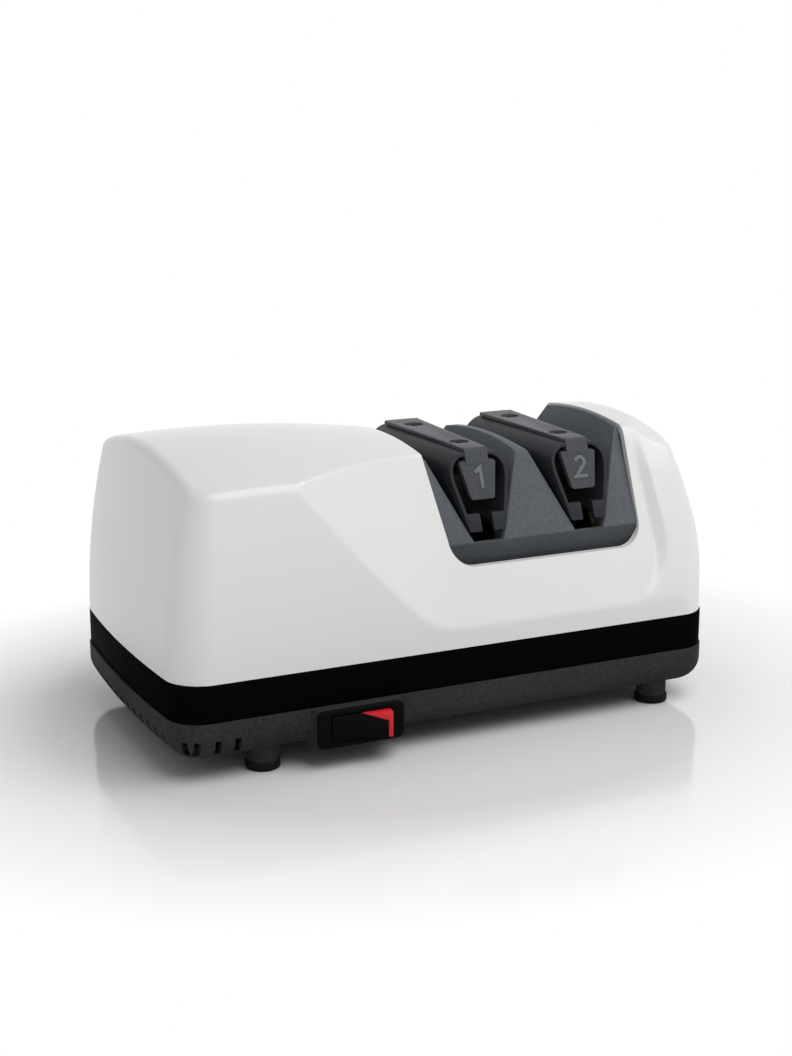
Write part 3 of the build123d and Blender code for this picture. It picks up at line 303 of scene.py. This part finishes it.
def prism(name, outline, place):
    # a closed bar between two copies of an outline
    count = len(outline)
    verts = [Vector(place(u, v, end)) * mm for end in (0, 1) for u, v in outline]
    sides = [[i, (i + 1) % count, count + (i + 1) % count, count + i] for i in range(count)]
    bar = meshObject(name, verts, sides + [list(range(count))[::-1], list(range(count, 2 * count))])
    shape = bmesh.new()
    shape.from_mesh(bar.data)
    bmesh.ops.recalc_face_normals(shape, faces=shape.faces)
    shape.to_mesh(bar.data)
    shape.free()
    return bar


def plainMesh(piece):
    # bakes the modifiers into the mesh
    bpy.context.view_layer.update()
    seen = piece.evaluated_get(bpy.context.evaluated_depsgraph_get())
    mesh = bpy.data.meshes.new_from_object(seen)
    piece.modifiers.clear()
    old = piece.data
    piece.data = mesh
    bpy.data.meshes.remove(old)
    return piece


def shadeSoft(piece, angle):
    mesh = piece.data
    mesh.shade_smooth()
    mesh.set_sharp_from_angle(angle=math.radians(angle))


def dress(piece, slot, body, *nodes, look=None):
    piece.data.materials.clear()
    piece.data.materials.append(look or finishes[slot])
    for face in piece.data.polygons:
        face.material_index = 0
    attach(piece, body)
    if nodes:
        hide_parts(*nodes)
    return piece


# the housing is one moulding with soft creases, in millimetres
shellSize = {
    "halfLength": 102.0,
    "halfWidth": 54.25,
    "rim": 0.4,
    "corner": 11.7,
    "bow": 2.8,
    "bottom": 32.8,
    "leanHeight": 61.5,
    "motorLean": 7.6,
    "capLean": 6.2,
    "sideLean": 3.2,
    "motorTop": (-65.0, 101.2),
    "crown": 160.0,
    "crownLong": 406.0,
    "capTop": 98.9,
    "crownSplit": 36.0,
    "crease": 38.8,
    "faceLean": 25.5,
    "scoopFoot": -10.0,
    "diagonalTop": (-69.0, 94.3),
    "valleyTop": (-4.0, 94.6),
    "valleyRound": 2.9,
    "facetEnd": (83.0, 80.0),
    "facetCorner": 22.0,
    "facetAbove": 40.0,
    "facetRise": 0.139,
    "bulge": 3.0,
    "swellStart": 60.0,
    "swellBelow": 8.0,
    "swellRound": (0.5, 3.0),
    "swellEase": (86.0, 94.0),
    "farInside": -60.0,
    "wall": 2.4,
    "shoulderRound": 2.6,
    "capRound": (2.0, 12.4, 4.5),
    "capFront": (20.0, 42.0),
    "capEnd": (78.0, 94.0),
    "creaseRound": (0.1, 1.8),
    "creaseEase": (66.0, 78.0),
    "stepRound": 3.0,
    "grid": 1.0,
    "hollowGrid": 4.0,
    "hollowDrop": 0.05,
    "margin": 4.0,
    "shrink": (0.62, 0.3, 0.3),
    "halvings": 34,
    "smooth": 38,
}


def roundBoth(a, b, radius):
    # inside both, with the edge between them rounded
    u = np.maximum(a + radius, 0)
    v = np.maximum(b + radius, 0)
    return np.minimum(np.maximum(a, b), -radius) + np.hypot(u, v)


def ease(x, start, end):
    t = np.clip((x - start) / (end - start), 0, 1)
    return t * t * (3 - 2 * t)


def shellField(points):
    # below 0 inside the housing, near to millimetres from its face
    s = shellSize
    x, y, z = points[:, 0], -np.abs(points[:, 1]), points[:, 2]
    share = ((z - s["bottom"]) / s["leanHeight"]) ** 2
    side = s["halfWidth"] - s["rim"] - s["sideLean"] * share
    bow = s["bow"] * (y / side) ** 2
    left = -x - (s["halfLength"] - s["rim"] - s["motorLean"] * share) + bow
    right = x - (s["halfLength"] - s["rim"] - s["capLean"] * share) + bow
    wall = roundBoth(np.maximum(left, right), -y - side, s["corner"] - s["rim"] - s["sideLean"] * share)

    drop = s["crown"] - np.sqrt(s["crown"] ** 2 - y**2)
    topX, topZ = s["motorTop"]
    motorCrown = np.hypot(x - topX, z - topZ + s["crownLong"]) - s["crownLong"] + drop
    capCrown = z - s["capTop"] + drop
    crown = np.where(x < s["crownSplit"], motorCrown, capCrown)

    lean = math.radians(s["faceLean"])
    faceOut = np.array((0, -math.cos(lean), math.sin(lean)))
    foot = np.array((s["scoopFoot"], -s["halfWidth"], s["crease"]))
    valleyTop = np.array((s["valleyTop"][0], 0, s["valleyTop"][1]))
    valleyTop[1] = -s["halfWidth"] + (valleyTop[2] - s["crease"]) * math.tan(lean)
    diagonalTop = np.array((s["diagonalTop"][0], -s["halfWidth"], s["diagonalTop"][1]))
    shoulderOut = np.cross(valleyTop - foot, diagonalTop - foot)
    shoulderOut /= np.linalg.norm(shoulderOut)
    front = np.stack((x, y, z), 1) - foot
    cut = roundBoth(-front @ faceOut, -front @ shoulderOut, s["valleyRound"])
    facetSlope = (s["facetEnd"][1] - s["facetEnd"][0]) / (s["capTop"] + s["facetAbove"] - s["crease"])
    facetSide = x - s["facetEnd"][0] - facetSlope * (z - s["crease"])
    facetLow = (s["crease"] - z) + (x - s["facetEnd"][0]) * s["facetRise"]
    window = roundBoth(facetSide, facetLow, s["facetCorner"])
    cut = roundBoth(cut, window, s["stepRound"])

    low = np.array((-s["halfWidth"], s["crease"]))
    high = np.array((-s["halfWidth"] + (s["capTop"] - s["crease"]) * math.tan(lean), s["capTop"]))
    chord = np.linalg.norm(high - low)
    swellRadius = (chord**2 / 4 + s["bulge"] ** 2) / (2 * s["bulge"])
    centre = (low + high) / 2 + np.array((math.cos(lean), -math.sin(lean))) * (swellRadius - s["bulge"])
    swell = np.hypot(y - centre[0], z - centre[1]) - swellRadius
    plain = (x < s["swellStart"]) | (z < s["crease"] - s["swellBelow"])
    swell = np.where(plain, s["farInside"], swell)

    least, more = s["swellRound"]
    body = roundBoth(wall, swell, least + more * ease(x, *s["swellEase"]))
    start, middle, front = s["capRound"]
    far = middle + (front - middle) * ease(-y, *s["capFront"])
    capRound = start + (far - start) * ease(x, *s["capEnd"])
    body = roundBoth(body, crown, np.where(x < s["crownSplit"], s["shoulderRound"], capRound))
    sharp, soft = s["creaseRound"]
    crease = sharp + (soft - sharp) * ease(x, *s["creaseEase"])
    return roundBoth(body, -cut, crease)


def shellSkin(level, step):
    # the field's surface at a level, as a closed mesh
    s = shellSize
    spare = s["margin"]
    low = np.array((-s["halfLength"] - spare, -s["halfWidth"] - spare, s["bottom"]))
    high = np.array((s["halfLength"] + spare, s["halfWidth"] + spare, s["motorTop"][1] + spare))
    counts = np.maximum(np.round((high - low) / step).astype(int), 2)
    index = {}
    points = []

    def corner(i, j, k):
        key = (i, j, k)
        if key not in index:
            index[key] = len(points)
            points.append(low + (high - low) * np.array(key) / counts)
        return index[key]

    nx, ny, nz = counts
    faces = []
    for i in range(nx):
        for j in range(ny):
            faces.append([corner(i, j, nz), corner(i + 1, j, nz), corner(i + 1, j + 1, nz), corner(i, j + 1, nz)])
    for i in range(nx):
        for k in range(nz):
            faces.append([corner(i, 0, k), corner(i + 1, 0, k), corner(i + 1, 0, k + 1), corner(i, 0, k + 1)])
            faces.append([corner(i + 1, ny, k), corner(i, ny, k), corner(i, ny, k + 1), corner(i + 1, ny, k + 1)])
    for j in range(ny):
        for k in range(nz):
            faces.append([corner(0, j + 1, k), corner(0, j, k), corner(0, j, k + 1), corner(0, j + 1, k + 1)])
            faces.append([corner(nx, j, k), corner(nx, j + 1, k), corner(nx, j + 1, k + 1), corner(nx, j, k + 1)])
    outer = np.array(points)
    pivot = np.array((0, 0, s["bottom"]))
    inner = pivot + (outer - pivot) * np.array(s["shrink"])
    near = np.zeros(len(outer))
    far = np.ones(len(outer))
    for turn in range(s["halvings"]):
        half = (near + far) / 2
        inside = shellField(inner + (outer - inner) * half[:, None]) < level
        near = np.where(inside, half, near)
        far = np.where(inside, far, half)
    skin = inner + (outer - inner) * near[:, None]
    ring = [corner(i, 0, 0) for i in range(nx)] + [corner(nx, j, 0) for j in range(ny)]
    ring += [corner(i, ny, 0) for i in range(nx, 0, -1)] + [corner(0, j, 0) for j in range(ny, 0, -1)]
    faces.append(ring[::-1])
    return skin, faces


notchSize = {
    "bottom": 57.6,
    "left": (1.6, -3.9),
    "right": (74.9, 76.9),
    "top": 95.0,
    "round": 9.0,
    "arcSteps": 12,
    "cutTop": 130.0,
    "cutReach": 90.0,
}


def notchOutline(grow, top):
    # the notch from the front, its two lower corners rounded
    n = notchSize
    low = n["bottom"] - grow
    rise = n["top"] - n["bottom"]
    leftSlope = (n["left"][1] - n["left"][0]) / rise
    rightSlope = (n["right"][1] - n["right"][0]) / rise

    def edgeX(z, side):
        if side < 0:
            return n["left"][0] + leftSlope * (z - n["bottom"]) - grow
        return n["right"][0] + rightSlope * (z - n["bottom"]) + grow

    outline = [(edgeX(top, -1), top)]
    for side, start in ((-1, 180), (1, 270)):
        radius = n["round"] + grow
        middle = (edgeX(low + radius, side) - side * radius, low + radius)
        for part in range(n["arcSteps"] + 1):
            angle = math.radians(start + part * 90 / n["arcSteps"])
            outline.append((middle[0] + radius * math.cos(angle), middle[1] + radius * math.sin(angle)))
    outline.append((edgeX(top, 1), top))
    return outline


def below(outline, top):
    # the part of an outline that lies under a height
    kept = []
    for (x, z), (nextX, nextZ) in zip(outline, outline[1:] + outline[:1]):
        if z <= top:
            kept.append((x, z))
        if (z - top) * (nextZ - top) < 0:
            kept.append((x + (nextX - x) * (top - z) / (nextZ - z), top))
    return kept


def cutWith(piece, tool):
    change = piece.modifiers.new("cut", "BOOLEAN")
    change.operation = "DIFFERENCE"
    change.solver = "EXACT"
    change.object = tool
    plainMesh(piece)
    bpy.data.objects.remove(tool)


skin, faces = shellSkin(0.0, shellSize["grid"])
housing = meshObject("housingMoulding", skin * mm, faces)
skin, faces = shellSkin(-shellSize["wall"], shellSize["hollowGrid"])
skin[:, 2] -= shellSize["hollowDrop"] * (skin[:, 2] < shellSize["bottom"] + 0.01)  # the hollow is open below
cutWith(housing, meshObject("hollow", skin * mm, faces))
cutEnds = (-notchSize["cutReach"], notchSize["cutReach"])
cutWith(housing, prism("notchCutter", notchOutline(0, notchSize["cutTop"]), lambda x, z, end: (x, cutEnds[end], z)))
shadeSoft(housing, shellSize["smooth"])
dress(housing, "shell", "housing", "housing_shell")
print("housing:", len(housing.data.polygons), "faces")


# edges of the moulded and pressed pieces, broken as a tool would leave them, in millimetres
edgeSize = {
    "base_tray": (0.5, 3),
    "trim_band": (0.35, 2),
    "rubber_feet": (0.5, 3),
    "guide_tray": (0.3, 2),
    "guide_spring_1": (0.22, 2),
    "guide_spring_2": (0.22, 2),
    "clamp_strip_1": (0.22, 2),
    "clamp_strip_2": (0.22, 2),
    "stage_bridge_1": (0.3, 2),
    "stage_bridge_2": (0.3, 2),
    "switch_bezel": (0.45, 3),
    "switch_rocker": (0.25, 2),
    "rocker_flag": (0.12, 2),
    "cord_inlet": (0.5, 3),
}
# distance in metres, angles in degrees
edgeLimits = {
    "merge": 2e-6,
    "flat": 0.6,
    "sharp": 32,
    "smooth": 34,
}


def mergedCopy(nodeName):
    # a closed mesh with whole flat faces, its outward edges marked, from the node's loose triangles
    shape = bmesh.new()
    shape.from_mesh(frame["nodes"][nodeName].data)
    bmesh.ops.remove_doubles(shape, verts=shape.verts, dist=edgeLimits["merge"])
    flat = math.radians(edgeLimits["flat"])
    sharp = math.radians(edgeLimits["sharp"])
    bmesh.ops.dissolve_limit(shape, angle_limit=flat, verts=shape.verts, edges=shape.edges)
    shape.normal_update()
    weight = shape.edges.layers.float.new("bevel_weight_edge")
    for edge in shape.edges:
        if edge.is_manifold and edge.is_convex and edge.calc_face_angle() > sharp:
            edge[weight] = 1.0
    return shapeObject(nodeName + "Soft", shape)


def softCopy(nodeName, width, segments):
    piece = mergedCopy(nodeName)
    edge = piece.modifiers.new("brokenEdge", "BEVEL")
    edge.width = width * mm
    edge.segments = segments
    edge.limit_method = "WEIGHT"
    edge.use_clamp_overlap = True
    edge.miter_outer = "MITER_ARC"
    plainMesh(piece)
    shadeSoft(piece, edgeLimits["smooth"])
    return piece


for nodeName, (width, segments) in edgeSize.items():
    piece = softCopy(nodeName, width, segments)
    body = "rocker" if nodeName in ("switch_rocker", "rocker_flag") else "housing"
    dress(piece, slotOf[nodeName], body, nodeName)
print("softened pieces:", len(edgeSize))


# the sill runs on down behind the edge of the notch, in millimetres
skirtSize = {
    "grow": 2.6,
    "top": 63.8,
    "depths": (41.14, 40.3),
    "outlineTop": 80.0,
}
for side in (-1, 1):
    n = skirtSize
    name = "sillSkirtFront" if side < 0 else "sillSkirtRear"
    outline = below(notchOutline(n["grow"], n["outlineTop"]), n["top"])
    skirt = prism(name, outline, lambda x, z, end: (x, side * n["depths"][end], z))
    dress(skirt, "tray", "housing")
print("sill skirts set")


# the plate's neck bends over the spring's edge on to the strip, in millimetres
bendSize = {
    "halfWidth": 4.3,
    "smooth": 40,
    "profile": [
        (31.79, 89.65), (30.03, 94.05), (29.83, 94.4), (29.5, 94.68), (29.05, 94.79),
        (28.5, 94.79), (28.5, 93.6), (29.95, 93.55), (31.55, 89.6),
    ],
}
for number, stageX in enumerate(stageSize["middles"], start=1):
    for side in (-1, 1):
        reach = bendSize["halfWidth"]
        bend = prism(
            f"neckBend{number}{'Front' if side < 0 else 'Rear'}", bendSize["profile"],
            lambda y, z, end: (stageX + (-reach, reach)[end], side * y, z),
        )
        shadeSoft(bend, bendSize["smooth"])
        dress(bend, "plate", "housing")
print("necks bent over the springs")


# plain numbers, raised on the front plates, in millimetres
numeralSize = {
    "middle": 85.2,
    "stroke": 1.25,
    "mitre": 0.35,
    "edge": 0.07,
    "sharp": 40,
    "smooth": 35,
    "raise": 0.25,
    "sink": 0.1,
    "faceFoot": (-41.7, 64.4),
    "faceTop": (-29.9, 94.0),
    "one": [(-1.75, 1.75), (0.45, 3.3), (0.45, -3.85)],
    "twoBow": (1.75, 1.75, 168, -56),
    "bowSteps": 14,
    "twoFoot": [(-2.3, -3.25), (2.35, -3.25)],
}


def strokeOutline(path, width):
    # both edges of a line drawn with a flat pen, mitred at its corners
    path = [Vector(point) for point in path]
    left, right = [], []
    for index, point in enumerate(path):
        before = (point - path[index - 1]).normalized() if index else None
        after = (path[index + 1] - point).normalized() if index + 1 < len(path) else None
        along = ((before or after) + (after or before)).normalized()
        across = Vector((-along.y, along.x))
        reach = width / 2 / max(numeralSize["mitre"], along.dot(after or before))
        left.append(point + across * reach)
        right.append(point - across * reach)
    return left + right[::-1]


def raisedStroke(piece, path, lift):
    outline = strokeOutline(path, numeralSize["stroke"])
    face = piece.faces.new([piece.verts.new((point.x, point.y, lift[0])) for point in outline])
    grown = bmesh.ops.extrude_face_region(piece, geom=[face])["geom"]
    upper = [part for part in grown if isinstance(part, bmesh.types.BMVert)]
    bmesh.ops.translate(piece, verts=upper, vec=(0, 0, lift[1] - lift[0]))


def numeral(number, stageX):
    n = numeralSize
    if number == 1:
        path = n["one"]
    else:
        radius, centre, start, end = n["twoBow"]
        count = n["bowSteps"]
        turns = [math.radians(start + (end - start) * step / count) for step in range(count + 1)]
        path = [(radius * math.cos(turn), centre + radius * math.sin(turn)) for turn in turns] + n["twoFoot"]
    shape = bmesh.new()
    raisedStroke(shape, path, (-n["sink"], n["raise"]))
    bmesh.ops.recalc_face_normals(shape, faces=shape.faces)
    low = Vector((0, *n["faceFoot"]))
    high = Vector((0, *n["faceTop"]))
    rise = (high - low).normalized()
    out = Vector((1, 0, 0)).cross(rise)
    spot = low.lerp(high, (n["middle"] - low.z) / (high.z - low.z)) + Vector((stageX, 0, 0))
    turn = Matrix((Vector((1, 0, 0)), rise, out)).transposed().to_4x4()
    shape.transform(Matrix.Scale(mm, 4) @ Matrix.Translation(spot) @ turn)
    piece = shapeObject(f"numeral{number}", shape)
    edge = piece.modifiers.new("brokenEdge", "BEVEL")
    edge.width = n["edge"] * mm
    edge.segments = 2
    edge.limit_method = "ANGLE"
    edge.angle_limit = math.radians(n["sharp"])
    plainMesh(piece)
    shadeSoft(piece, n["smooth"])
    return dress(piece, "plate", "housing", look=extras["numeral"])


for number, stageX in enumerate(stageSize["middles"], start=1):
    numeral(number, stageX)
print("numerals raised")


class Growth:
    # one tree of geometry nodes with named inputs
    def __init__(self, name):
        self.tree = bpy.data.node_groups.new(name, "GeometryNodeTree")
        self.tree.interface.new_socket("Geometry", in_out="INPUT", socket_type="NodeSocketGeometry")
        self.tree.interface.new_socket("Geometry", in_out="OUTPUT", socket_type="NodeSocketGeometry")
        self.given = self.tree.nodes.new("NodeGroupInput")
        self.result = self.tree.nodes.new("NodeGroupOutput")

    def size(self, name, kind="Float"):
        self.tree.interface.new_socket(name, in_out="INPUT", socket_type="NodeSocket" + kind)
        return self.given.outputs[name]

    def add(self, kind, settings, sockets):
        node = self.tree.nodes.new(kind)
        for key, value in settings.items():
            setattr(node, key, value)
        for key, value in sockets.items():
            for link in value if isinstance(value, list) else [value]:
                if isinstance(link, bpy.types.NodeSocket):
                    self.tree.links.new(link, node.inputs[key])
                else:
                    node.inputs[key].default_value = link
        return node.outputs[0]

    def maths(self, operation, first, second):
        return self.add("ShaderNodeMath", {"operation": operation}, {0: first, 1: second})

    def vector(self, x, y, z):
        return self.add("ShaderNodeCombineXYZ", {}, {0: x, 1: y, 2: z})

    def lift(self, geometry, height):
        return self.add("GeometryNodeTransform", {}, {"Geometry": geometry, "Translation": self.vector(0, 0, height)})

    def close(self, geometry, material):
        whole = self.add("GeometryNodeRealizeInstances", {}, {0: geometry})
        painted = self.add("GeometryNodeSetMaterial", {}, {"Geometry": whole, "Material": material})
        self.tree.links.new(painted, self.result.inputs[0])

    def grow(self, piece, **values):
        change = piece.modifiers.new("grow", "NODES")
        change.node_group = self.tree
        for item in self.tree.interface.items_tree:
            if item.in_out == "INPUT" and item.name in values:
                change[item.identifier] = values[item.name]
        return plainMesh(piece)


def screwTree():
    g = Growth("crossScrews")
    head = g.size("headRadius")
    thick = g.size("headHeight")
    shank = g.size("shankRadius")
    length = g.size("shankLength")
    width = g.size("crossWidth")
    depth = g.size("crossDepth")
    tilt = g.size("tilt")
    paint = g.size("paint", "Material")
    crown = g.add("GeometryNodeMeshCylinder", {}, {"Vertices": 32, "Radius": head, "Depth": thick})
    crown = g.lift(crown, g.maths("MULTIPLY", thick, 0.5))
    span = g.maths("MULTIPLY", head, 1.15)
    deep = g.maths("MULTIPLY", depth, 2.0)
    bars = [
        g.add("GeometryNodeMeshCube", {}, {"Size": g.vector(span, width, deep)}),
        g.add("GeometryNodeMeshCube", {}, {"Size": g.vector(width, span, deep)}),
    ]
    bars = [g.lift(bar, thick) for bar in bars]
    cut = g.add("GeometryNodeMeshBoolean", {"operation": "DIFFERENCE", "solver": "EXACT"}, {0: crown, 1: bars})
    stem = g.add("GeometryNodeMeshCylinder", {}, {"Vertices": 20, "Radius": shank, "Depth": length})
    stem = g.lift(stem, g.maths("MULTIPLY", length, -0.5))
    screw = g.add("GeometryNodeJoinGeometry", {}, {0: [cut, stem]})
    spots = g.add(
        "GeometryNodeInstanceOnPoints", {},
        {"Points": g.given.outputs[0], "Instance": screw, "Rotation": g.vector(tilt, 0, 0)},
    )
    g.close(spots, paint)
    return g


# heads seat at these heights, in millimetres
screwSize = {
    "spring_screws": {
        "points": [(x, y) for x in stageSize["middles"] for y in (-17.7, 17.7)], "seat": 94.0, "tilt": 0.0,
        "head": (3.1, 0.3), "shank": (1.25, 7.4), "cross": (0.8, 0.22),
    },
    "foot_screws": {
        "points": [(x, y) for x in (-68.8, 80.4) for y in (-45.4, 45.4)], "seat": 1.2, "tilt": math.pi,
        "head": (3.0, 1.2), "shank": (1.5, 7.4), "cross": (0.7, 0.8),
    },
    "housing_screws": {
        "points": [(-86, -39), (-86, 39), (89, -34), (89, 34)], "seat": 10.6, "tilt": math.pi,
        "head": (3.4, 2.4), "shank": (1.9, 34.0), "cross": (0.8, 1.4),
    },
}
screwSmooth = 30
crossScrews = screwTree()
for nodeName, n in screwSize.items():
    spots = [(x * mm, y * mm, n["seat"] * mm) for x, y in n["points"]]
    piece = meshObject(nodeName + "Cross", spots, [])
    # the spring screws are black, partly painted shade for their recessed holes
    look = extras["screw"] if nodeName == "spring_screws" else finishes["steel"]
    crossScrews.grow(
        piece, headRadius=n["head"][0] * mm, headHeight=n["head"][1] * mm, shankRadius=n["shank"][0] * mm,
        shankLength=n["shank"][1] * mm, crossWidth=n["cross"][0] * mm, crossDepth=n["cross"][1] * mm,
        tilt=n["tilt"], paint=look,
    )
    shadeSoft(piece, screwSmooth)
    dress(piece, "steel", "housing", nodeName, look=look)
print("screws:", sum(len(n["points"]) for n in screwSize.values()))


def springTree():
    g = Growth("woundSpring")
    radius = g.size("coilRadius")
    wire = g.size("wireRadius")
    length = g.size("coilLength")
    turns = g.size("turns")
    start = g.size("startX")
    height = g.size("axisHeight")
    paint = g.size("paint", "Material")
    path = g.add(
        "GeometryNodeCurveSpiral", {},
        {"Resolution": 28, "Rotations": turns, "Start Radius": radius, "End Radius": radius, "Height": length},
    )
    path = g.add(
        "GeometryNodeTransform", {},
        {"Geometry": path, "Rotation": (0, math.pi / 2, 0), "Translation": g.vector(start, 0, height)},
    )
    ring = g.add("GeometryNodeCurvePrimitiveCircle", {}, {"Resolution": 10, "Radius": wire})
    coil = g.add("GeometryNodeCurveToMesh", {}, {"Curve": path, "Profile Curve": ring, "Fill Caps": True})
    g.close(coil, paint)
    return g


coilSize = {
    "wire": 0.5,
    "radius": 4.85,
    "turns": 5.0,
    "inner": 10.08,
    "outer": 18.52,
    "axis": stageSize["shaft"],
    "keep": 0.82,
    "smooth": 60,
}
woundSpring = springTree()
for number, stageX in enumerate(stageSize["middles"], start=1):
    for side, sign in (("left", -1), ("right", 1)):
        c = coilSize
        ends = sorted(stageX + sign * c[end] for end in ("inner", "outer"))
        piece = meshObject(f"discCoil{number}{side.title()}", [(0, 0, 0)], [])
        woundSpring.grow(
            piece, coilRadius=c["radius"] * mm, wireRadius=c["wire"] * mm,
            coilLength=(ends[1] - ends[0] - 2 * c["wire"]) * mm, turns=c["turns"],
            startX=(ends[0] + c["wire"]) * mm, axisHeight=c["axis"] * mm, paint=finishes["steel"],
        )
        shadeSoft(piece, c["smooth"])
        dress(piece, "steel", "rotor", f"disc_spring_{number}_{side}")
        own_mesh(piece)
print("disc springs wound")


# pale floor, soft lamps and the photo's camera
studio = {
    "floorColour": (0.97, 0.97, 0.97),
    "bounceColour": (0.6, 0.6, 0.6),
    "floorNear": 1.0,
    "floorFar": 1.7,
    "footprint": (0.125, 0.105),
    "floorReach": 4,
    "floorDrop": 0.0002,
    "world": 0.275,
    "mainPower": 5.1,
    "leftPower": 0.08,
}


def softLamp(name, place, target, size, power):
    lamp = bpy.data.lights.new(name, "AREA")
    lamp.shape = "RECTANGLE"
    lamp.size, lamp.size_y = size
    lamp.energy = power
    holder = bpy.data.objects.new(name, lamp)
    holder.location = place
    holder.rotation_euler = (Vector(target) - Vector(place)).to_track_quat("-Z", "Y").to_euler()
    bpy.context.scene.collection.objects.link(holder)
    return holder


softLamp("mainLamp", (0.26, -0.36, 0.78), (0, 0, 0.05), (0.9, 0.7), studio["mainPower"])
softLamp("leftLamp", (-0.9, -0.2, 0.5), (-0.05, 0, 0.06), (0.6, 0.6), studio["leftPower"])

world = bpy.data.worlds.new("studioWorld")
bpy.context.scene.world = world
world.use_nodes = True
worldTree = world.node_tree
back = worldTree.nodes["Background"]
paths = worldTree.nodes.new("ShaderNodeLightPath")
seen = worldTree.nodes.new("ShaderNodeMath")
seen.operation = "ADD"
seen.use_clamp = True
worldTree.links.new(paths.outputs["Is Camera Ray"], seen.inputs[0])
worldTree.links.new(paths.outputs["Is Glossy Ray"], seen.inputs[1])
strength = worldTree.nodes.new("ShaderNodeMapRange")
strength.inputs[3].default_value = studio["world"]
strength.inputs[4].default_value = 1.0
worldTree.links.new(seen.outputs[0], strength.inputs[0])
worldTree.links.new(strength.outputs[0], back.inputs["Strength"])
back.inputs["Color"].default_value = (1, 1, 1, 1)

reach, drop = studio["floorReach"], studio["floorDrop"]
corners = [(x * reach, y * reach, -drop) for x, y in ((-1, -1), (1, -1), (1, 1), (-1, 1))]
floorMesh = meshObject("floor", corners, [[0, 1, 2, 3]])
floorLook = Finish("paleFloor", Roughness=0.1, Specular_IOR_Level=0.6)
looked = floorLook.add("ShaderNodeLightPath", {}, {})
toCamera = looked.outputs["Is Camera Ray"]
floorLook.set("Base Color", floorLook.between(toCamera, studio["bounceColour"], studio["floorColour"]))
glow = floorLook.add("ShaderNodeEmission", {}, {"Color": (1, 1, 1)})
halfX, halfY = studio["footprint"]
across = floorLook.outward((0, 0, 0), (1 / halfX, 1 / halfY, 1))
fade = floorLook.steps(across, studio["floorNear"], studio["floorFar"])
join = floorLook.add("ShaderNodeMixShader", {}, {0: fade, 1: floorLook.shader.outputs[0], 2: glow.outputs[0]})
clear = floorLook.add("ShaderNodeBsdfTransparent", {}, {})
under = floorLook.add("ShaderNodeNewGeometry", {}, {})
whole = floorLook.add(
    "ShaderNodeMixShader", {}, {0: under.outputs["Backfacing"], 1: join.outputs[0], 2: clear.outputs[0]},
)
floorLook.feed(floorLook.tree.nodes["Material Output"].inputs[0], whole.outputs[0])
floorMesh.data.materials.append(floorLook.material)

# metres and degrees
cameraSize = {
    "lens": 59.09,
    "sensor": 36.0,
    "nearest": 0.01,
    "place": (-0.25579, -0.53969, 0.21176),
    "turn": (75.89, 0, -25.41),
}
camera = bpy.data.cameras.new("photoCamera")
camera.lens = cameraSize["lens"]
camera.sensor_width = cameraSize["sensor"]
camera.clip_start = cameraSize["nearest"]
viewer = bpy.data.objects.new("photoCamera", camera)
viewer.location = cameraSize["place"]
viewer.rotation_euler = [math.radians(angle) for angle in cameraSize["turn"]]
bpy.context.scene.collection.objects.link(viewer)
bpy.context.scene.camera = viewer
bpy.context.scene.view_settings.view_transform = "Standard"
print("stage set")
